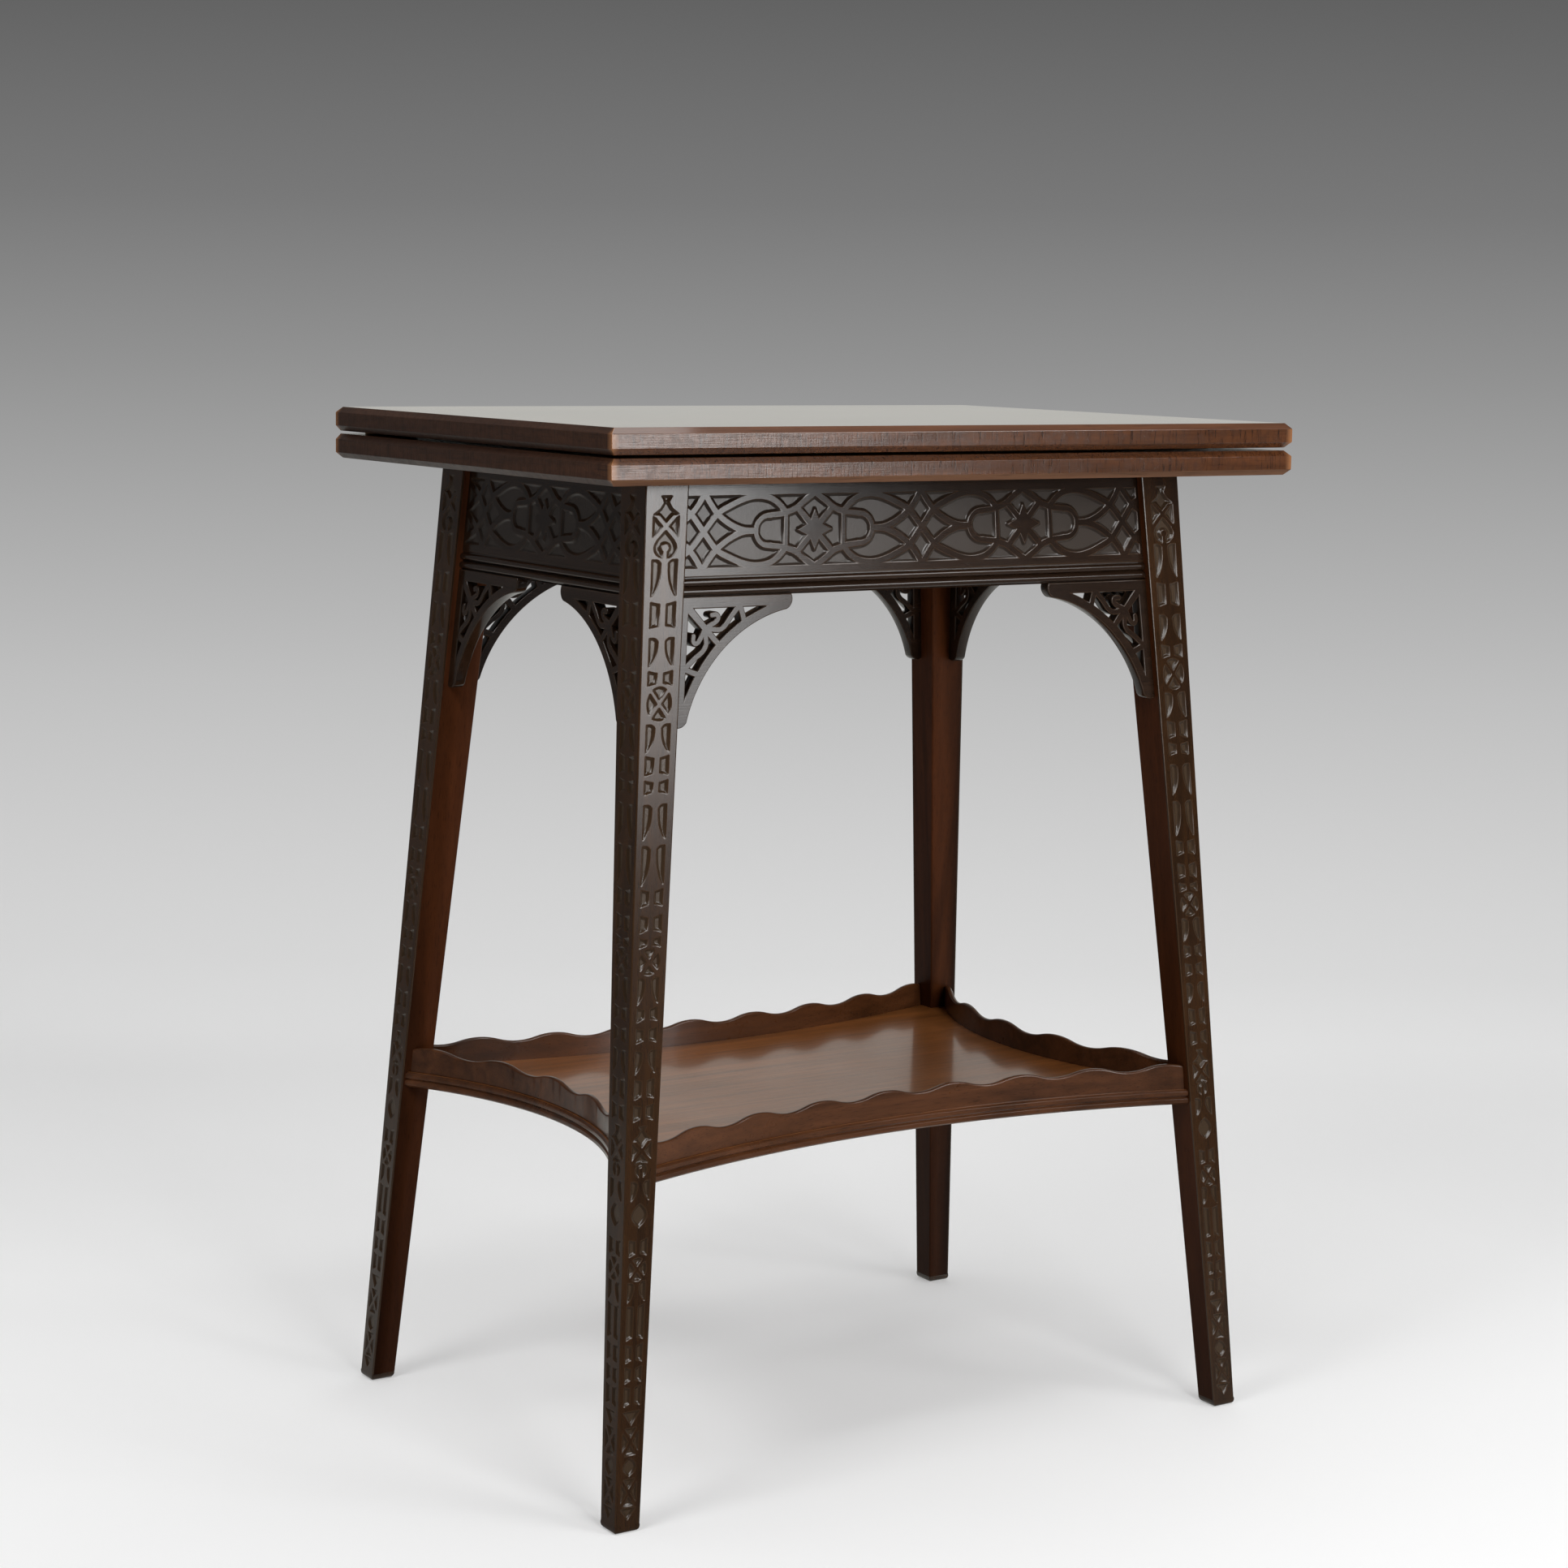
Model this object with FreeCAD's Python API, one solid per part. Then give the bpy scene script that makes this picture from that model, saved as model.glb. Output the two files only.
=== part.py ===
import FreeCAD, Part
import math
import os

# Fold-over game table with a swivelling top.
# Millimetres, +Z up, +X along the front, +Y to the back.
# The origin is on the floor under the middle of the closed top.

# Closed table and its two leaves
table_height = 730.0
top_width = 562.0
top_depth = 404.0
leaf_thick = 17.5
leaf_gap = 2.0
leaf_bevel = 4.0
fold_edge_gap = 0.3
swivel_gap = 0.3

# Legs: how far the outer arris stands in from the top's edges, at the frame's top and on the floor,
# and the side of the square section at both ends
leg_top_inset_x = 58.5
leg_top_inset_y = 56.5
leg_foot_inset_x = 14.0
leg_foot_inset_y = 8.5
leg_top_width = 33.0
leg_foot_width = 19.0
foot_chamfer = 2.0

# Frieze rails, set back from the legs' outer faces, with two beads along the lower edge
rail_height = 77.0
rail_thick = 20.0
rail_setback = 6.0
rail_lip = 1.2
bead_height = 5.0
bead_quirk = 1.2
bead_proud = 1.8
tenon_thick = 8.0
tenon_length = 9.5
tenon_shoulder = 11.0
joint_clearance = 0.1

# Pierced spandrel brackets in the corners under the rails
bracket_length = 89.0
bracket_drop = 86.0
bracket_thick = 9.0
bracket_setback = 5.0
bracket_tip = 10.5
bracket_step = 6.5
bracket_nose = 2.5
bracket_waist = 35.5
bracket_band = 7.6
bracket_stile = 7.4
bracket_rim = 7.0
bracket_strut = 5.0
arch_chord_count = 8

# Fret of the brackets above its diagonal strut: width of each strand and its line,
# as reach along the rail and drop below it
branch_width = 3.5
branch_line = [(22.0, 20.5), (31.0, 22.0), (36.0, 19.5), (40.0, 14.0), (44.0, 9.5), (48.0, 5.0)]
bud_width = 3.2
bud_line = [(22.5, 19.5), (28.6, 16.8), (30.6, 14.0), (29.0, 11.9), (25.5, 12.0)]
post_width = 4.0
post_line = [(47.0, 6.0), (52.0, 19.0)]

# Shelf with hollowed sides and a reeded edge
shelf_bottom = 230.0
shelf_thick = 11.0
shelf_edge_inset = 2.5
shelf_long_hollow = 36.0
shelf_short_hollow = 45.0
shelf_bead_depth = 1.6
dowel_radius = 2.5
dowel_in_leg = 10.0
dowel_in_shelf = 16.0
dowel_margin = 2.0

# Wavy gallery strips, housed in a groove along the shelf's edge
gallery_height = 19.0
gallery_wave = 4.4
gallery_thick = 4.0
gallery_inset = 3.0
gallery_tongue = 3.0
long_wave_count = 8
short_wave_count = 5

# Baize let into the playing face of each leaf
baize_border = 42.0
baize_hinge_margin = 6.0
baize_recess = 1.0
baize_clearance = 0.3

# Butt hinges on the back edge
hinge_end_inset = 45.0
hinge_length = 40.0
hinge_plate_width = 20.0
hinge_plate_thick = 1.6
knuckle_radius = 3.2
knuckle_count = 3
knuckle_end_gap = 0.4
knuckle_clearance = 0.4
pin_radius = 1.5
pin_clearance = 0.05
screw_head_radius = 2.9
screw_radius = 1.4
screw_length = 12.0
screw_pitch = 14.0
screw_clearance = 0.05
rod_side_count = 8

# Swivel: pivot rail across the frame, plate and spindle under the lower leaf
pivot_rail_width = 60.0
pivot_rail_thick = 22.0
pivot_housing = 8.0
pivot_plate_size = 56.0
pivot_plate_thick = 3.0
pivot_screw_inset = 8.0
spindle_radius = 6.0
spindle_clearance = 0.08
washer_size = 24.0
washer_thick = 2.5
nut_across_flats = 18.0
nut_height = 8.0
spindle_tail = 3.0
hardware_clearance = 1.0
stop_radius = 60.0
stop_peg_radius = 4.0
stop_peg_rise = 6.5
stop_peg_depth = 14.0
stop_groove_depth = 8.5
stop_clearance = 0.4
swivel_turn = 90.0

# Card well inside the frame
well_board_thick = 8.0
well_clearance = 0.3
cleat_height = 10.0
cleat_thick = 12.0
cleat_end_margin = 40.0

# Levels and places that follow from the sizes above
leg_top_x = top_width / 2 - leg_top_inset_x
leg_top_y = top_depth / 2 - leg_top_inset_y
leg_foot_x = top_width / 2 - leg_foot_inset_x
leg_foot_y = top_depth / 2 - leg_foot_inset_y
lower_bottom = table_height - 2 * leaf_thick - leaf_gap
lower_face = lower_bottom + leaf_thick
frame_top = lower_bottom - swivel_gap
fold_y = top_depth / 2 + fold_edge_gap
fold_z = lower_face + leaf_gap / 2
rail_bottom = frame_top - rail_height
shelf_top = shelf_bottom + shelf_thick
shelf_middle = shelf_bottom + shelf_thick / 2
gallery_crest = shelf_top + gallery_height
gallery_bottom = shelf_top - gallery_tongue
hinge_x = top_width / 2 - hinge_end_inset
well_floor = rail_bottom + cleat_height + well_board_thick

# Half a turn of the hinge line over the frame's middle puts the pivot on this diagonal point
pivot_x = fold_y / 2
pivot_y = fold_y / 2

VECTOR = FreeCAD.Vector
X = VECTOR(1, 0, 0)
Y = VECTOR(0, 1, 0)
Z = VECTOR(0, 0, 1)
ORIGIN = VECTOR(0, 0, 0)
BEYOND = top_width


def between(foot, top, z):
    """Size at height z of something that runs straight from the floor to the frame's top."""
    return foot + (top - foot) * z / frame_top


def outer_x(z):
    return between(leg_foot_x, leg_top_x, z)


def outer_y(z):
    return between(leg_foot_y, leg_top_y, z)


def leg_width(z):
    return between(leg_foot_width, leg_top_width, z)


def inner_x(z):
    return outer_x(z) - leg_width(z)


def inner_y(z):
    return outer_y(z) - leg_width(z)


def line(start, end):
    return Part.LineSegment(start, end).toShape()


def arc(start, middle, end):
    return Part.Arc(start, middle, end).toShape()


def polygon(points):
    return Part.Face(Part.makePolygon(points + points[:1]))


def outline(edges):
    return Part.Face(Part.Wire(edges))


def block(low, high):
    size = high - low
    return Part.makeBox(size.x, size.y, size.z, low)


def cylinder(radius, start, end):
    run = end - start
    return Part.makeCylinder(radius, run.Length, start, run)


def rod(stations, axis):
    """Small rod with flat sides, through (centre, radius) stations along the axis."""
    across = Y if abs(axis.x) > abs(axis.z) else X
    upward = axis.cross(across)
    rings = []
    for centre, radius in stations:
        turns = [2 * math.pi * i / rod_side_count for i in range(rod_side_count)]
        rings.append([centre + (across * math.cos(t) + upward * math.sin(t)) * radius for t in turns])
    faces = [polygon(rings[0]), polygon(rings[-1])]
    for low, high in zip(rings, rings[1:]):
        for i in range(rod_side_count):
            faces.append(polygon([low[i - 1], low[i], high[i], high[i - 1]]))
    return Part.Solid(Part.Shell(faces))


def one_piece(shapes):
    return shapes[0].multiFuse(shapes[1:]).removeSplitter()


def mirrored(shape, normal):
    return shape.mirror(ORIGIN, normal)


def tapered_block(low, high, z_low, z_high):
    """Block whose rectangle (x0, x1, y0, y1) changes straight from low to high."""
    wedge = Part.makeWedge(
        low[0], z_low, -low[3], -high[3], high[0],
        low[1], z_high, -low[2], -high[2], high[1],
    )
    return wedge.rotated(ORIGIN, X, 90)


class Side:
    """One side of the frame: run goes along the rail, depth inwards from the legs' outer face."""

    def __init__(self, along, inward, outer, inner):
        self.along = along
        self.inward = inward
        self.outer = outer
        self.inner = inner

    def place(self, run, depth, z):
        return self.along * run + self.inward * (depth - self.outer(z)) + Z * z

    def flat(self, run, z):
        return self.along * run + Z * z - self.inward * BEYOND

    def sweep_inward(self, face):
        return face.extrude(self.inward * (2 * BEYOND))

    def sweep_along(self, face):
        return face.extrude(self.along * (2 * BEYOND))

    def slab(self, depth, thick, z_low, z_high):
        """Long board leaning with the legs."""
        corners = [(depth, z_low), (depth + thick, z_low), (depth + thick, z_high), (depth, z_high)]
        return self.sweep_along(polygon([self.place(-BEYOND, d, z) for d, z in corners]))

    def between_legs(self, extra, z_low, z_high):
        """Everything between the two legs' inner faces, and extra into each leg."""
        low = self.inner(z_low) + extra
        high = self.inner(z_high) + extra
        corners = [(-low, z_low), (low, z_low), (high, z_high), (-high, z_high)]
        return self.sweep_inward(polygon([self.flat(run, z) for run, z in corners]))


LONG = Side(X, Y, outer_y, inner_x)
SHORT = Side(Y, X, outer_x, inner_y)


def tenons(side, clearance):
    """Both end tenons of a rail as one bar; with clearance it is the shape of the mortises."""
    depth = rail_setback + (rail_thick - tenon_thick) / 2 - clearance
    z_low = rail_bottom + tenon_shoulder - clearance
    z_high = frame_top - tenon_shoulder + clearance
    bar = side.slab(depth, tenon_thick + 2 * clearance, z_low, z_high)
    return bar.common(side.between_legs(tenon_length + clearance, z_low, z_high))


def rail(side):
    """Frieze rail: beaded profile between the legs, with a tenon at each end."""
    def spot(depth, z):
        return side.place(-BEYOND, depth, z)

    face = rail_setback
    back = rail_setback + rail_thick
    edges = [line(spot(back, rail_bottom), spot(face, rail_bottom))]
    z = rail_bottom
    for step in (rail_lip, bead_quirk):
        edges.append(line(spot(face, z), spot(face, z + step)))
        z += step
        crown = spot(face - bead_proud, z + bead_height / 2)
        edges.append(arc(spot(face, z), crown, spot(face, z + bead_height)))
        z += bead_height
    edges.append(line(spot(face, z), spot(face, frame_top)))
    edges.append(line(spot(face, frame_top), spot(back, frame_top)))
    edges.append(line(spot(back, frame_top), spot(back, rail_bottom)))
    body = side.sweep_along(outline(edges)).common(side.between_legs(0, rail_bottom, frame_top))
    return one_piece([body, tenons(side, 0)])


def leg_blank(clearance):
    """Front left leg without its mortises; clearance grows its two inner faces."""
    def square(z, inset):
        west = -outer_x(z) + inset
        south = -outer_y(z) + inset
        side = leg_width(z) - 2 * inset + clearance
        return (west, west + side, south, south + side)

    foot = tapered_block(square(0, foot_chamfer), square(foot_chamfer, 0), 0, foot_chamfer)
    shaft = tapered_block(square(foot_chamfer, 0), square(frame_top, 0), foot_chamfer, frame_top)
    return one_piece([foot, shaft])


def four_corners(shape):
    """The front left shape and its three mirror images, by corner name."""
    right = mirrored(shape, X)
    return {
        "front_left": shape,
        "front_right": right,
        "back_left": mirrored(shape, Y),
        "back_right": mirrored(right, Y),
    }


def circle_through(a, b, c):
    """Centre and radius of the circle through three flat points."""
    d = 2 * (a[0] * (b[1] - c[1]) + b[0] * (c[1] - a[1]) + c[0] * (a[1] - b[1]))
    sums = [p[0] ** 2 + p[1] ** 2 for p in (a, b, c)]
    u = (sums[0] * (b[1] - c[1]) + sums[1] * (c[1] - a[1]) + sums[2] * (a[1] - b[1])) / d
    v = (sums[0] * (c[0] - b[0]) + sums[1] * (a[0] - c[0]) + sums[2] * (b[0] - a[0])) / d
    return u, v, math.hypot(a[0] - u, a[1] - v)


def bracket(side):
    """Pierced spandrel bracket at the low-run end of a rail.

    Its drawing has reach measured along the rail from the leg's inner face
    and drop measured down from the rail's lower edge.
    """
    def spot(reach, drop):
        z = rail_bottom - drop
        return side.flat(reach - side.inner(z), z)

    def board(points):
        return side.sweep_inward(polygon([spot(*point) for point in points]))

    def strand(points, width):
        """Strip of fret that follows a line of points."""
        left = []
        right = []
        for i, (reach, drop) in enumerate(points):
            behind = points[max(i - 1, 0)]
            ahead = points[min(i + 1, len(points) - 1)]
            run = (ahead[0] - behind[0], ahead[1] - behind[1])
            share = width / 2 / math.hypot(*run)
            left.append((reach - run[1] * share, drop + run[0] * share))
            right.insert(0, (reach + run[1] * share, drop - run[0] * share))
        return board(left + right)

    arch_start = (bracket_length - bracket_step, bracket_tip)
    arch_middle = (bracket_waist, bracket_waist)
    arch_end = (bracket_tip, bracket_drop - bracket_step)
    u, v, radius = circle_through(arch_start, arch_middle, arch_end)

    def arch(reach, start, end):
        """Points along the arch's circle, or one beside it, between two points on it."""
        first = math.atan2(start[1] - v, start[0] - u) % (2 * math.pi)
        last = math.atan2(end[1] - v, end[0] - u) % (2 * math.pi)
        turns = [first + (last - first) * i / arch_chord_count for i in range(arch_chord_count + 1)]
        return [(u + reach * math.cos(turn), v + reach * math.sin(turn)) for turn in turns]

    low_end = [(bracket_nose, bracket_drop), (0, bracket_drop)]
    tip = [(0, 0), (bracket_length, 0), (bracket_length, bracket_nose)]
    blank = board(tip + arch(radius, arch_start, arch_end) + low_end)

    # Opening inside the top band, the stile along the leg and the arched rim
    rim_radius = radius + bracket_rim
    rim_top = (u - math.sqrt(rim_radius ** 2 - (v - bracket_band) ** 2), bracket_band)
    rim_side = (bracket_stile, v - math.sqrt(rim_radius ** 2 - (u - bracket_stile) ** 2))
    rim_middle = (u - radius / math.sqrt(2), v - radius / math.sqrt(2))
    corner = (bracket_stile, bracket_band)
    opening = board([corner] + arch(rim_radius, rim_top, rim_side))

    # Fretwork left standing in the opening, alike on both sides of the diagonal strut
    strands = [strand([corner, rim_middle], bracket_strut)]
    for points, width in ((branch_line, branch_width), (bud_line, bud_width), (post_line, post_width)):
        strands.append(strand(points, width))
        strands.append(strand([(drop, reach) for reach, drop in points], width))
    fret = one_piece(strands).common(opening)
    pierced = one_piece([blank.cut(opening), fret])
    z_low = rail_bottom - bracket_drop
    thickness = side.slab(bracket_setback, bracket_thick, z_low, rail_bottom)
    return pierced.common(thickness).removeSplitter()


class Hollow:
    """One hollowed side of the shelf: a circle whose centre lies outside the table."""

    def __init__(self, side, depth):
        self.side = side
        self.chord = side.inner(shelf_middle)
        end = side.outer(shelf_middle) - shelf_edge_inset
        self.radius = (self.chord ** 2 + depth ** 2) / (2 * depth)
        self.centre = end - depth + self.radius

    def edge(self, run):
        """Distance of the shelf's edge from the middle of the table."""
        return self.centre - math.sqrt(self.radius ** 2 - run ** 2)

    def ring(self, section):
        """Turns a section, given as radius and height pairs, along the hollow."""
        half = math.degrees(math.asin((self.chord + shelf_edge_inset) / self.radius))
        centre = self.side.inward * (-self.centre)
        face = polygon([centre + self.side.inward * radius + Z * z for radius, z in section])
        face.rotate(centre, Z, -half)
        return face.revolve(centre, Z, 2 * half)


LONG_HOLLOW = Hollow(LONG, shelf_long_hollow)
SHORT_HOLLOW = Hollow(SHORT, shelf_short_hollow)


def shelf_reeding(hollow):
    """What is cut away from the shelf's edge to leave two faceted beads."""
    crest = hollow.radius
    quirk = hollow.radius + shelf_bead_depth
    outside = hollow.radius - gallery_inset
    bead = shelf_thick / 2
    section = [(outside, shelf_bottom), (quirk, shelf_bottom)]
    for z in (shelf_bottom, shelf_bottom + bead):
        section.append((crest, z + bead / 4))
        section.append((crest, z + bead * 3 / 4))
        section.append((quirk, z + bead))
    section.append((outside, shelf_top))
    return hollow.ring(section)


def gallery_ring(hollow, clearance):
    """Plain strip that follows the hollow; with clearance it is the groove in the shelf."""
    near = hollow.radius + gallery_inset - clearance
    far = hollow.radius + gallery_inset + gallery_thick + clearance
    section = [(near, gallery_bottom), (far, gallery_bottom), (far, gallery_crest), (near, gallery_crest)]
    return hollow.ring(section)


def gallery(hollow, waves):
    """Gallery strip with a wavy upper edge, fitted between two legs."""
    side = hollow.side
    middle = gallery_crest - gallery_wave / 2
    reach = hollow.chord + leg_top_width
    half_wave = hollow.chord / waves
    top = [line(side.flat(-reach, middle), side.flat(-hollow.chord, middle))]
    for i in range(2 * waves):
        run = -hollow.chord + i * half_wave
        bulge = middle + gallery_wave / 2 * (-1) ** (i + 1)
        peak = side.flat(run + half_wave / 2, bulge)
        top.append(arc(side.flat(run, middle), peak, side.flat(run + half_wave, middle)))
    top.append(line(side.flat(hollow.chord, middle), side.flat(reach, middle)))
    top.append(line(side.flat(reach, middle), side.flat(reach, gallery_bottom)))
    top.append(line(side.flat(reach, gallery_bottom), side.flat(-reach, gallery_bottom)))
    top.append(line(side.flat(-reach, gallery_bottom), side.flat(-reach, middle)))
    strip = gallery_ring(hollow, 0).common(side.sweep_inward(outline(top)))
    return strip.common(side.between_legs(0, gallery_bottom, gallery_crest))


def shelf_board(legs):
    """Board with four hollowed, reeded and grooved sides, notched round the legs."""
    run_x = inner_x(shelf_bottom)
    run_y = inner_y(shelf_bottom)
    edge_y = LONG_HOLLOW.edge(run_x)
    edge_x = SHORT_HOLLOW.edge(run_y)

    def spot(x, y):
        return VECTOR(x, y, shelf_bottom)

    edges = []
    for sx, sy in ((-1, -1), (1, -1), (1, 1), (-1, 1)):
        corner = spot(sx * run_x, sy * run_y)
        on_long = spot(sx * run_x, sy * edge_y)
        on_short = spot(sx * edge_x, sy * run_y)
        edges.append(line(on_long, corner))
        edges.append(line(corner, on_short))
    for s in (-1, 1):
        middle = spot(0, s * LONG_HOLLOW.edge(0))
        edges.append(arc(spot(-run_x, s * edge_y), middle, spot(run_x, s * edge_y)))
        middle = spot(s * SHORT_HOLLOW.edge(0), 0)
        edges.append(arc(spot(s * edge_x, -run_y), middle, spot(s * edge_x, run_y)))
    board = Part.Face(Part.Wire(Part.__sortEdges__(edges))).extrude(Z * shelf_thick)
    for hollow, normal in ((LONG_HOLLOW, Y), (SHORT_HOLLOW, X)):
        for cutter in (shelf_reeding(hollow), gallery_ring(hollow, joint_clearance)):
            board = board.cut([cutter, mirrored(cutter, normal)])
    return board.cut(legs)


def shelf_dowel(clearance):
    """Dowel from the front left leg into the shelf, along X; with clearance it is the hole."""
    groove = LONG_HOLLOW.edge(LONG_HOLLOW.chord) - gallery_inset - gallery_thick
    y = -(groove - dowel_margin - dowel_radius)
    z = (shelf_bottom + gallery_bottom) / 2
    face = -inner_x(z)
    start = VECTOR(face - dowel_in_leg - clearance, y, z)
    end = VECTOR(face + dowel_in_shelf + clearance, y, z)
    return rod([(start, dowel_radius + clearance), (end, dowel_radius + clearance)], X)


def leaf_board():
    """Lower leaf as a plain board: bevelled all round, but square where it meets the other leaf."""
    half_x = top_width / 2
    half_y = top_depth / 2
    low = lower_bottom
    high = lower_face
    across = [
        VECTOR(-BEYOND, leaf_bevel - half_y, low),
        VECTOR(-BEYOND, half_y - leaf_bevel, low),
        VECTOR(-BEYOND, half_y, low + leaf_bevel),
        VECTOR(-BEYOND, half_y, high),
        VECTOR(-BEYOND, leaf_bevel - half_y, high),
        VECTOR(-BEYOND, -half_y, high - leaf_bevel),
        VECTOR(-BEYOND, -half_y, low + leaf_bevel),
    ]
    lengthways = [
        VECTOR(leaf_bevel - half_x, -BEYOND, low),
        VECTOR(half_x - leaf_bevel, -BEYOND, low),
        VECTOR(half_x, -BEYOND, low + leaf_bevel),
        VECTOR(half_x, -BEYOND, high - leaf_bevel),
        VECTOR(half_x - leaf_bevel, -BEYOND, high),
        VECTOR(leaf_bevel - half_x, -BEYOND, high),
        VECTOR(-half_x, -BEYOND, high - leaf_bevel),
        VECTOR(-half_x, -BEYOND, low + leaf_bevel),
    ]
    return polygon(across).extrude(X * 2 * BEYOND).common(polygon(lengthways).extrude(Y * 2 * BEYOND))


def baize_block(clearance, z_low, z_high):
    """Space of the lower leaf's baize, shrunk by clearance at its edges."""
    half_x = top_width / 2 - baize_border - clearance
    front = -top_depth / 2 + baize_border + clearance
    back = top_depth / 2 - hinge_plate_width - baize_hinge_margin - clearance
    return block(VECTOR(-half_x, front, z_low), VECTOR(half_x, back, z_high))


def hinge_screw_places(x):
    """Screw points of a hinge plate at x: the middle one stands back from the outer two."""
    plate_middle = top_depth / 2 - hinge_plate_width / 2 - knuckle_radius / 2
    stagger = screw_head_radius
    return [
        VECTOR(x - screw_pitch, plate_middle + stagger / 2, lower_face),
        VECTOR(x, plate_middle - stagger / 2, lower_face),
        VECTOR(x + screw_pitch, plate_middle + stagger / 2, lower_face),
    ]


def countersunk_screw(place, inward, plate_thick, clearance):
    """Screw whose head is flush with the plate; with clearance it is the hole."""
    neck = screw_radius + clearance
    stations = [
        (place, screw_head_radius + clearance),
        (place + inward * plate_thick, neck),
        (place + inward * (screw_length + clearance), neck),
    ]
    return rod(stations, inward)


def hinge_plate(x, first_knuckle):
    """Hinge plate in the lower leaf, with every other knuckle from first_knuckle."""
    pitch = hinge_length / knuckle_count
    start = x - hinge_length / 2
    edge = top_depth / 2
    relief = knuckle_radius + knuckle_clearance
    low = lower_face - hinge_plate_thick
    shapes = [
        block(
            VECTOR(start, edge - hinge_plate_width, low),
            VECTOR(start + hinge_length, edge - relief, lower_face),
        )
    ]
    for i in range(first_knuckle, knuckle_count, 2):
        west = start + i * pitch + knuckle_end_gap / 2
        east = start + (i + 1) * pitch - knuckle_end_gap / 2
        shapes.append(block(VECTOR(west, edge - relief, low), VECTOR(east, fold_y, lower_face)))
        shapes.append(cylinder(knuckle_radius, VECTOR(west, fold_y, fold_z), VECTOR(east, fold_y, fold_z)))
    plate = one_piece(shapes)
    bore = hinge_pin(x, pin_clearance)
    holes = [
        countersunk_screw(place, -Z, hinge_plate_thick, screw_clearance)
        for place in hinge_screw_places(x)
    ]
    return plate.cut([bore] + holes)


def hinge_pin(x, clearance):
    half = hinge_length / 2 + clearance
    start = VECTOR(x - half, fold_y, fold_z)
    return cylinder(pin_radius + clearance, start, start + X * 2 * half)


def hinge_recess(x):
    """Housing of a hinge plate and its knuckles in the lower leaf."""
    half = hinge_length / 2 + knuckle_end_gap
    edge = top_depth / 2
    low = VECTOR(x - half, edge - hinge_plate_width, lower_face - hinge_plate_thick)
    high = VECTOR(x + half, edge + BEYOND, lower_face + leaf_gap)
    barrel_radius = knuckle_radius + knuckle_clearance
    barrel = cylinder(barrel_radius, VECTOR(x - half, fold_y, fold_z), VECTOR(x + half, fold_y, fold_z))
    return one_piece([block(low, high), barrel])


def to_upper_leaf(shape):
    """The same piece on the folding leaf, mirrored in the closed leaves' mid plane."""
    return shape.mirror(VECTOR(0, 0, fold_z), Z)


def leaf_with_hinges():
    """Lower leaf with the recesses that both leaves share: baize, hinges and hinge screws."""
    cuts = [baize_block(0, lower_face - baize_recess, lower_face + leaf_gap)]
    for x in (-hinge_x, hinge_x):
        cuts.append(hinge_recess(x))
        for place in hinge_screw_places(x):
            cuts.append(countersunk_screw(place, -Z, hinge_plate_thick, screw_clearance))
    return leaf_board().cut(cuts)


def hinge_screws():
    places = hinge_screw_places(-hinge_x) + hinge_screw_places(hinge_x)
    return Part.makeCompound([countersunk_screw(p, -Z, hinge_plate_thick, 0) for p in places])


def pivot_spot(dx, dy, z):
    return VECTOR(pivot_x + dx, pivot_y + dy, z)


def pivot_column(radius, z_low, z_high):
    return cylinder(radius, pivot_spot(0, 0, z_low), pivot_spot(0, 0, z_high))


def pivot_screw_places():
    reach = pivot_plate_size / 2 - pivot_screw_inset
    return [pivot_spot(sx * reach, sy * reach, lower_bottom) for sx in (-1, 1) for sy in (-1, 1)]


def pivot_screws(clearance):
    return [countersunk_screw(p, Z, pivot_plate_thick, clearance) for p in pivot_screw_places()]


def pivot_plate_blank():
    half = pivot_plate_size / 2
    top = lower_bottom + pivot_plate_thick
    return block(pivot_spot(-half, -half, lower_bottom), pivot_spot(half, half, top))


def stop_groove():
    """Quarter ring under the lower leaf in which the stop peg runs as the top turns."""
    half = stop_peg_radius + stop_clearance
    low = lower_bottom - swivel_gap
    height = stop_groove_depth + swivel_gap
    ring = Part.makeCylinder(stop_radius + half, height, pivot_spot(0, 0, low), Z, swivel_turn)
    hub = Part.makeCylinder(stop_radius - half, height, pivot_spot(0, 0, low), Z)
    sector = ring.cut(hub)
    sector.rotate(pivot_spot(0, 0, low), Z, -90 - swivel_turn)
    ends = []
    for angle in (-90, -90 - swivel_turn):
        turn = math.radians(angle)
        spot = pivot_spot(stop_radius * math.cos(turn), stop_radius * math.sin(turn), low)
        ends.append(Part.makeCylinder(half, height, spot, Z))
    return one_piece([sector] + ends)


def stop_peg(clearance):
    start = pivot_spot(0, -stop_radius, frame_top - stop_peg_depth - clearance)
    end = pivot_spot(0, -stop_radius, frame_top + stop_peg_rise)
    return rod([(start, stop_peg_radius + clearance), (end, stop_peg_radius + clearance)], Z)


def pivot_rail_blank():
    """Flat rail from the front rail to the back rail, let into both."""
    low = frame_top - pivot_rail_thick
    half_y = outer_y(frame_top) - rail_setback - rail_thick + pivot_housing
    half_x = pivot_rail_width / 2
    return block(VECTOR(pivot_x - half_x, -half_y, low), VECTOR(pivot_x + half_x, half_y, frame_top))


def hex_nut(z_low, z_high):
    corner = nut_across_flats / math.sqrt(3)
    points = []
    for i in range(6):
        turn = math.radians(60 * i)
        points.append(pivot_spot(corner * math.cos(turn), corner * math.sin(turn), z_low))
    return polygon(points).extrude(Z * (z_high - z_low))


def well_board(legs):
    """Floor of the card well, lying on the cleats inside the rails and notched round the legs."""
    low = rail_bottom + cleat_height
    inside = rail_setback + rail_thick + well_clearance
    half_x = outer_x(well_floor) - inside
    half_y = outer_y(well_floor) - inside
    board = block(VECTOR(-half_x, -half_y, low), VECTOR(half_x, half_y, well_floor))
    return board.cut(legs)


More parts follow.
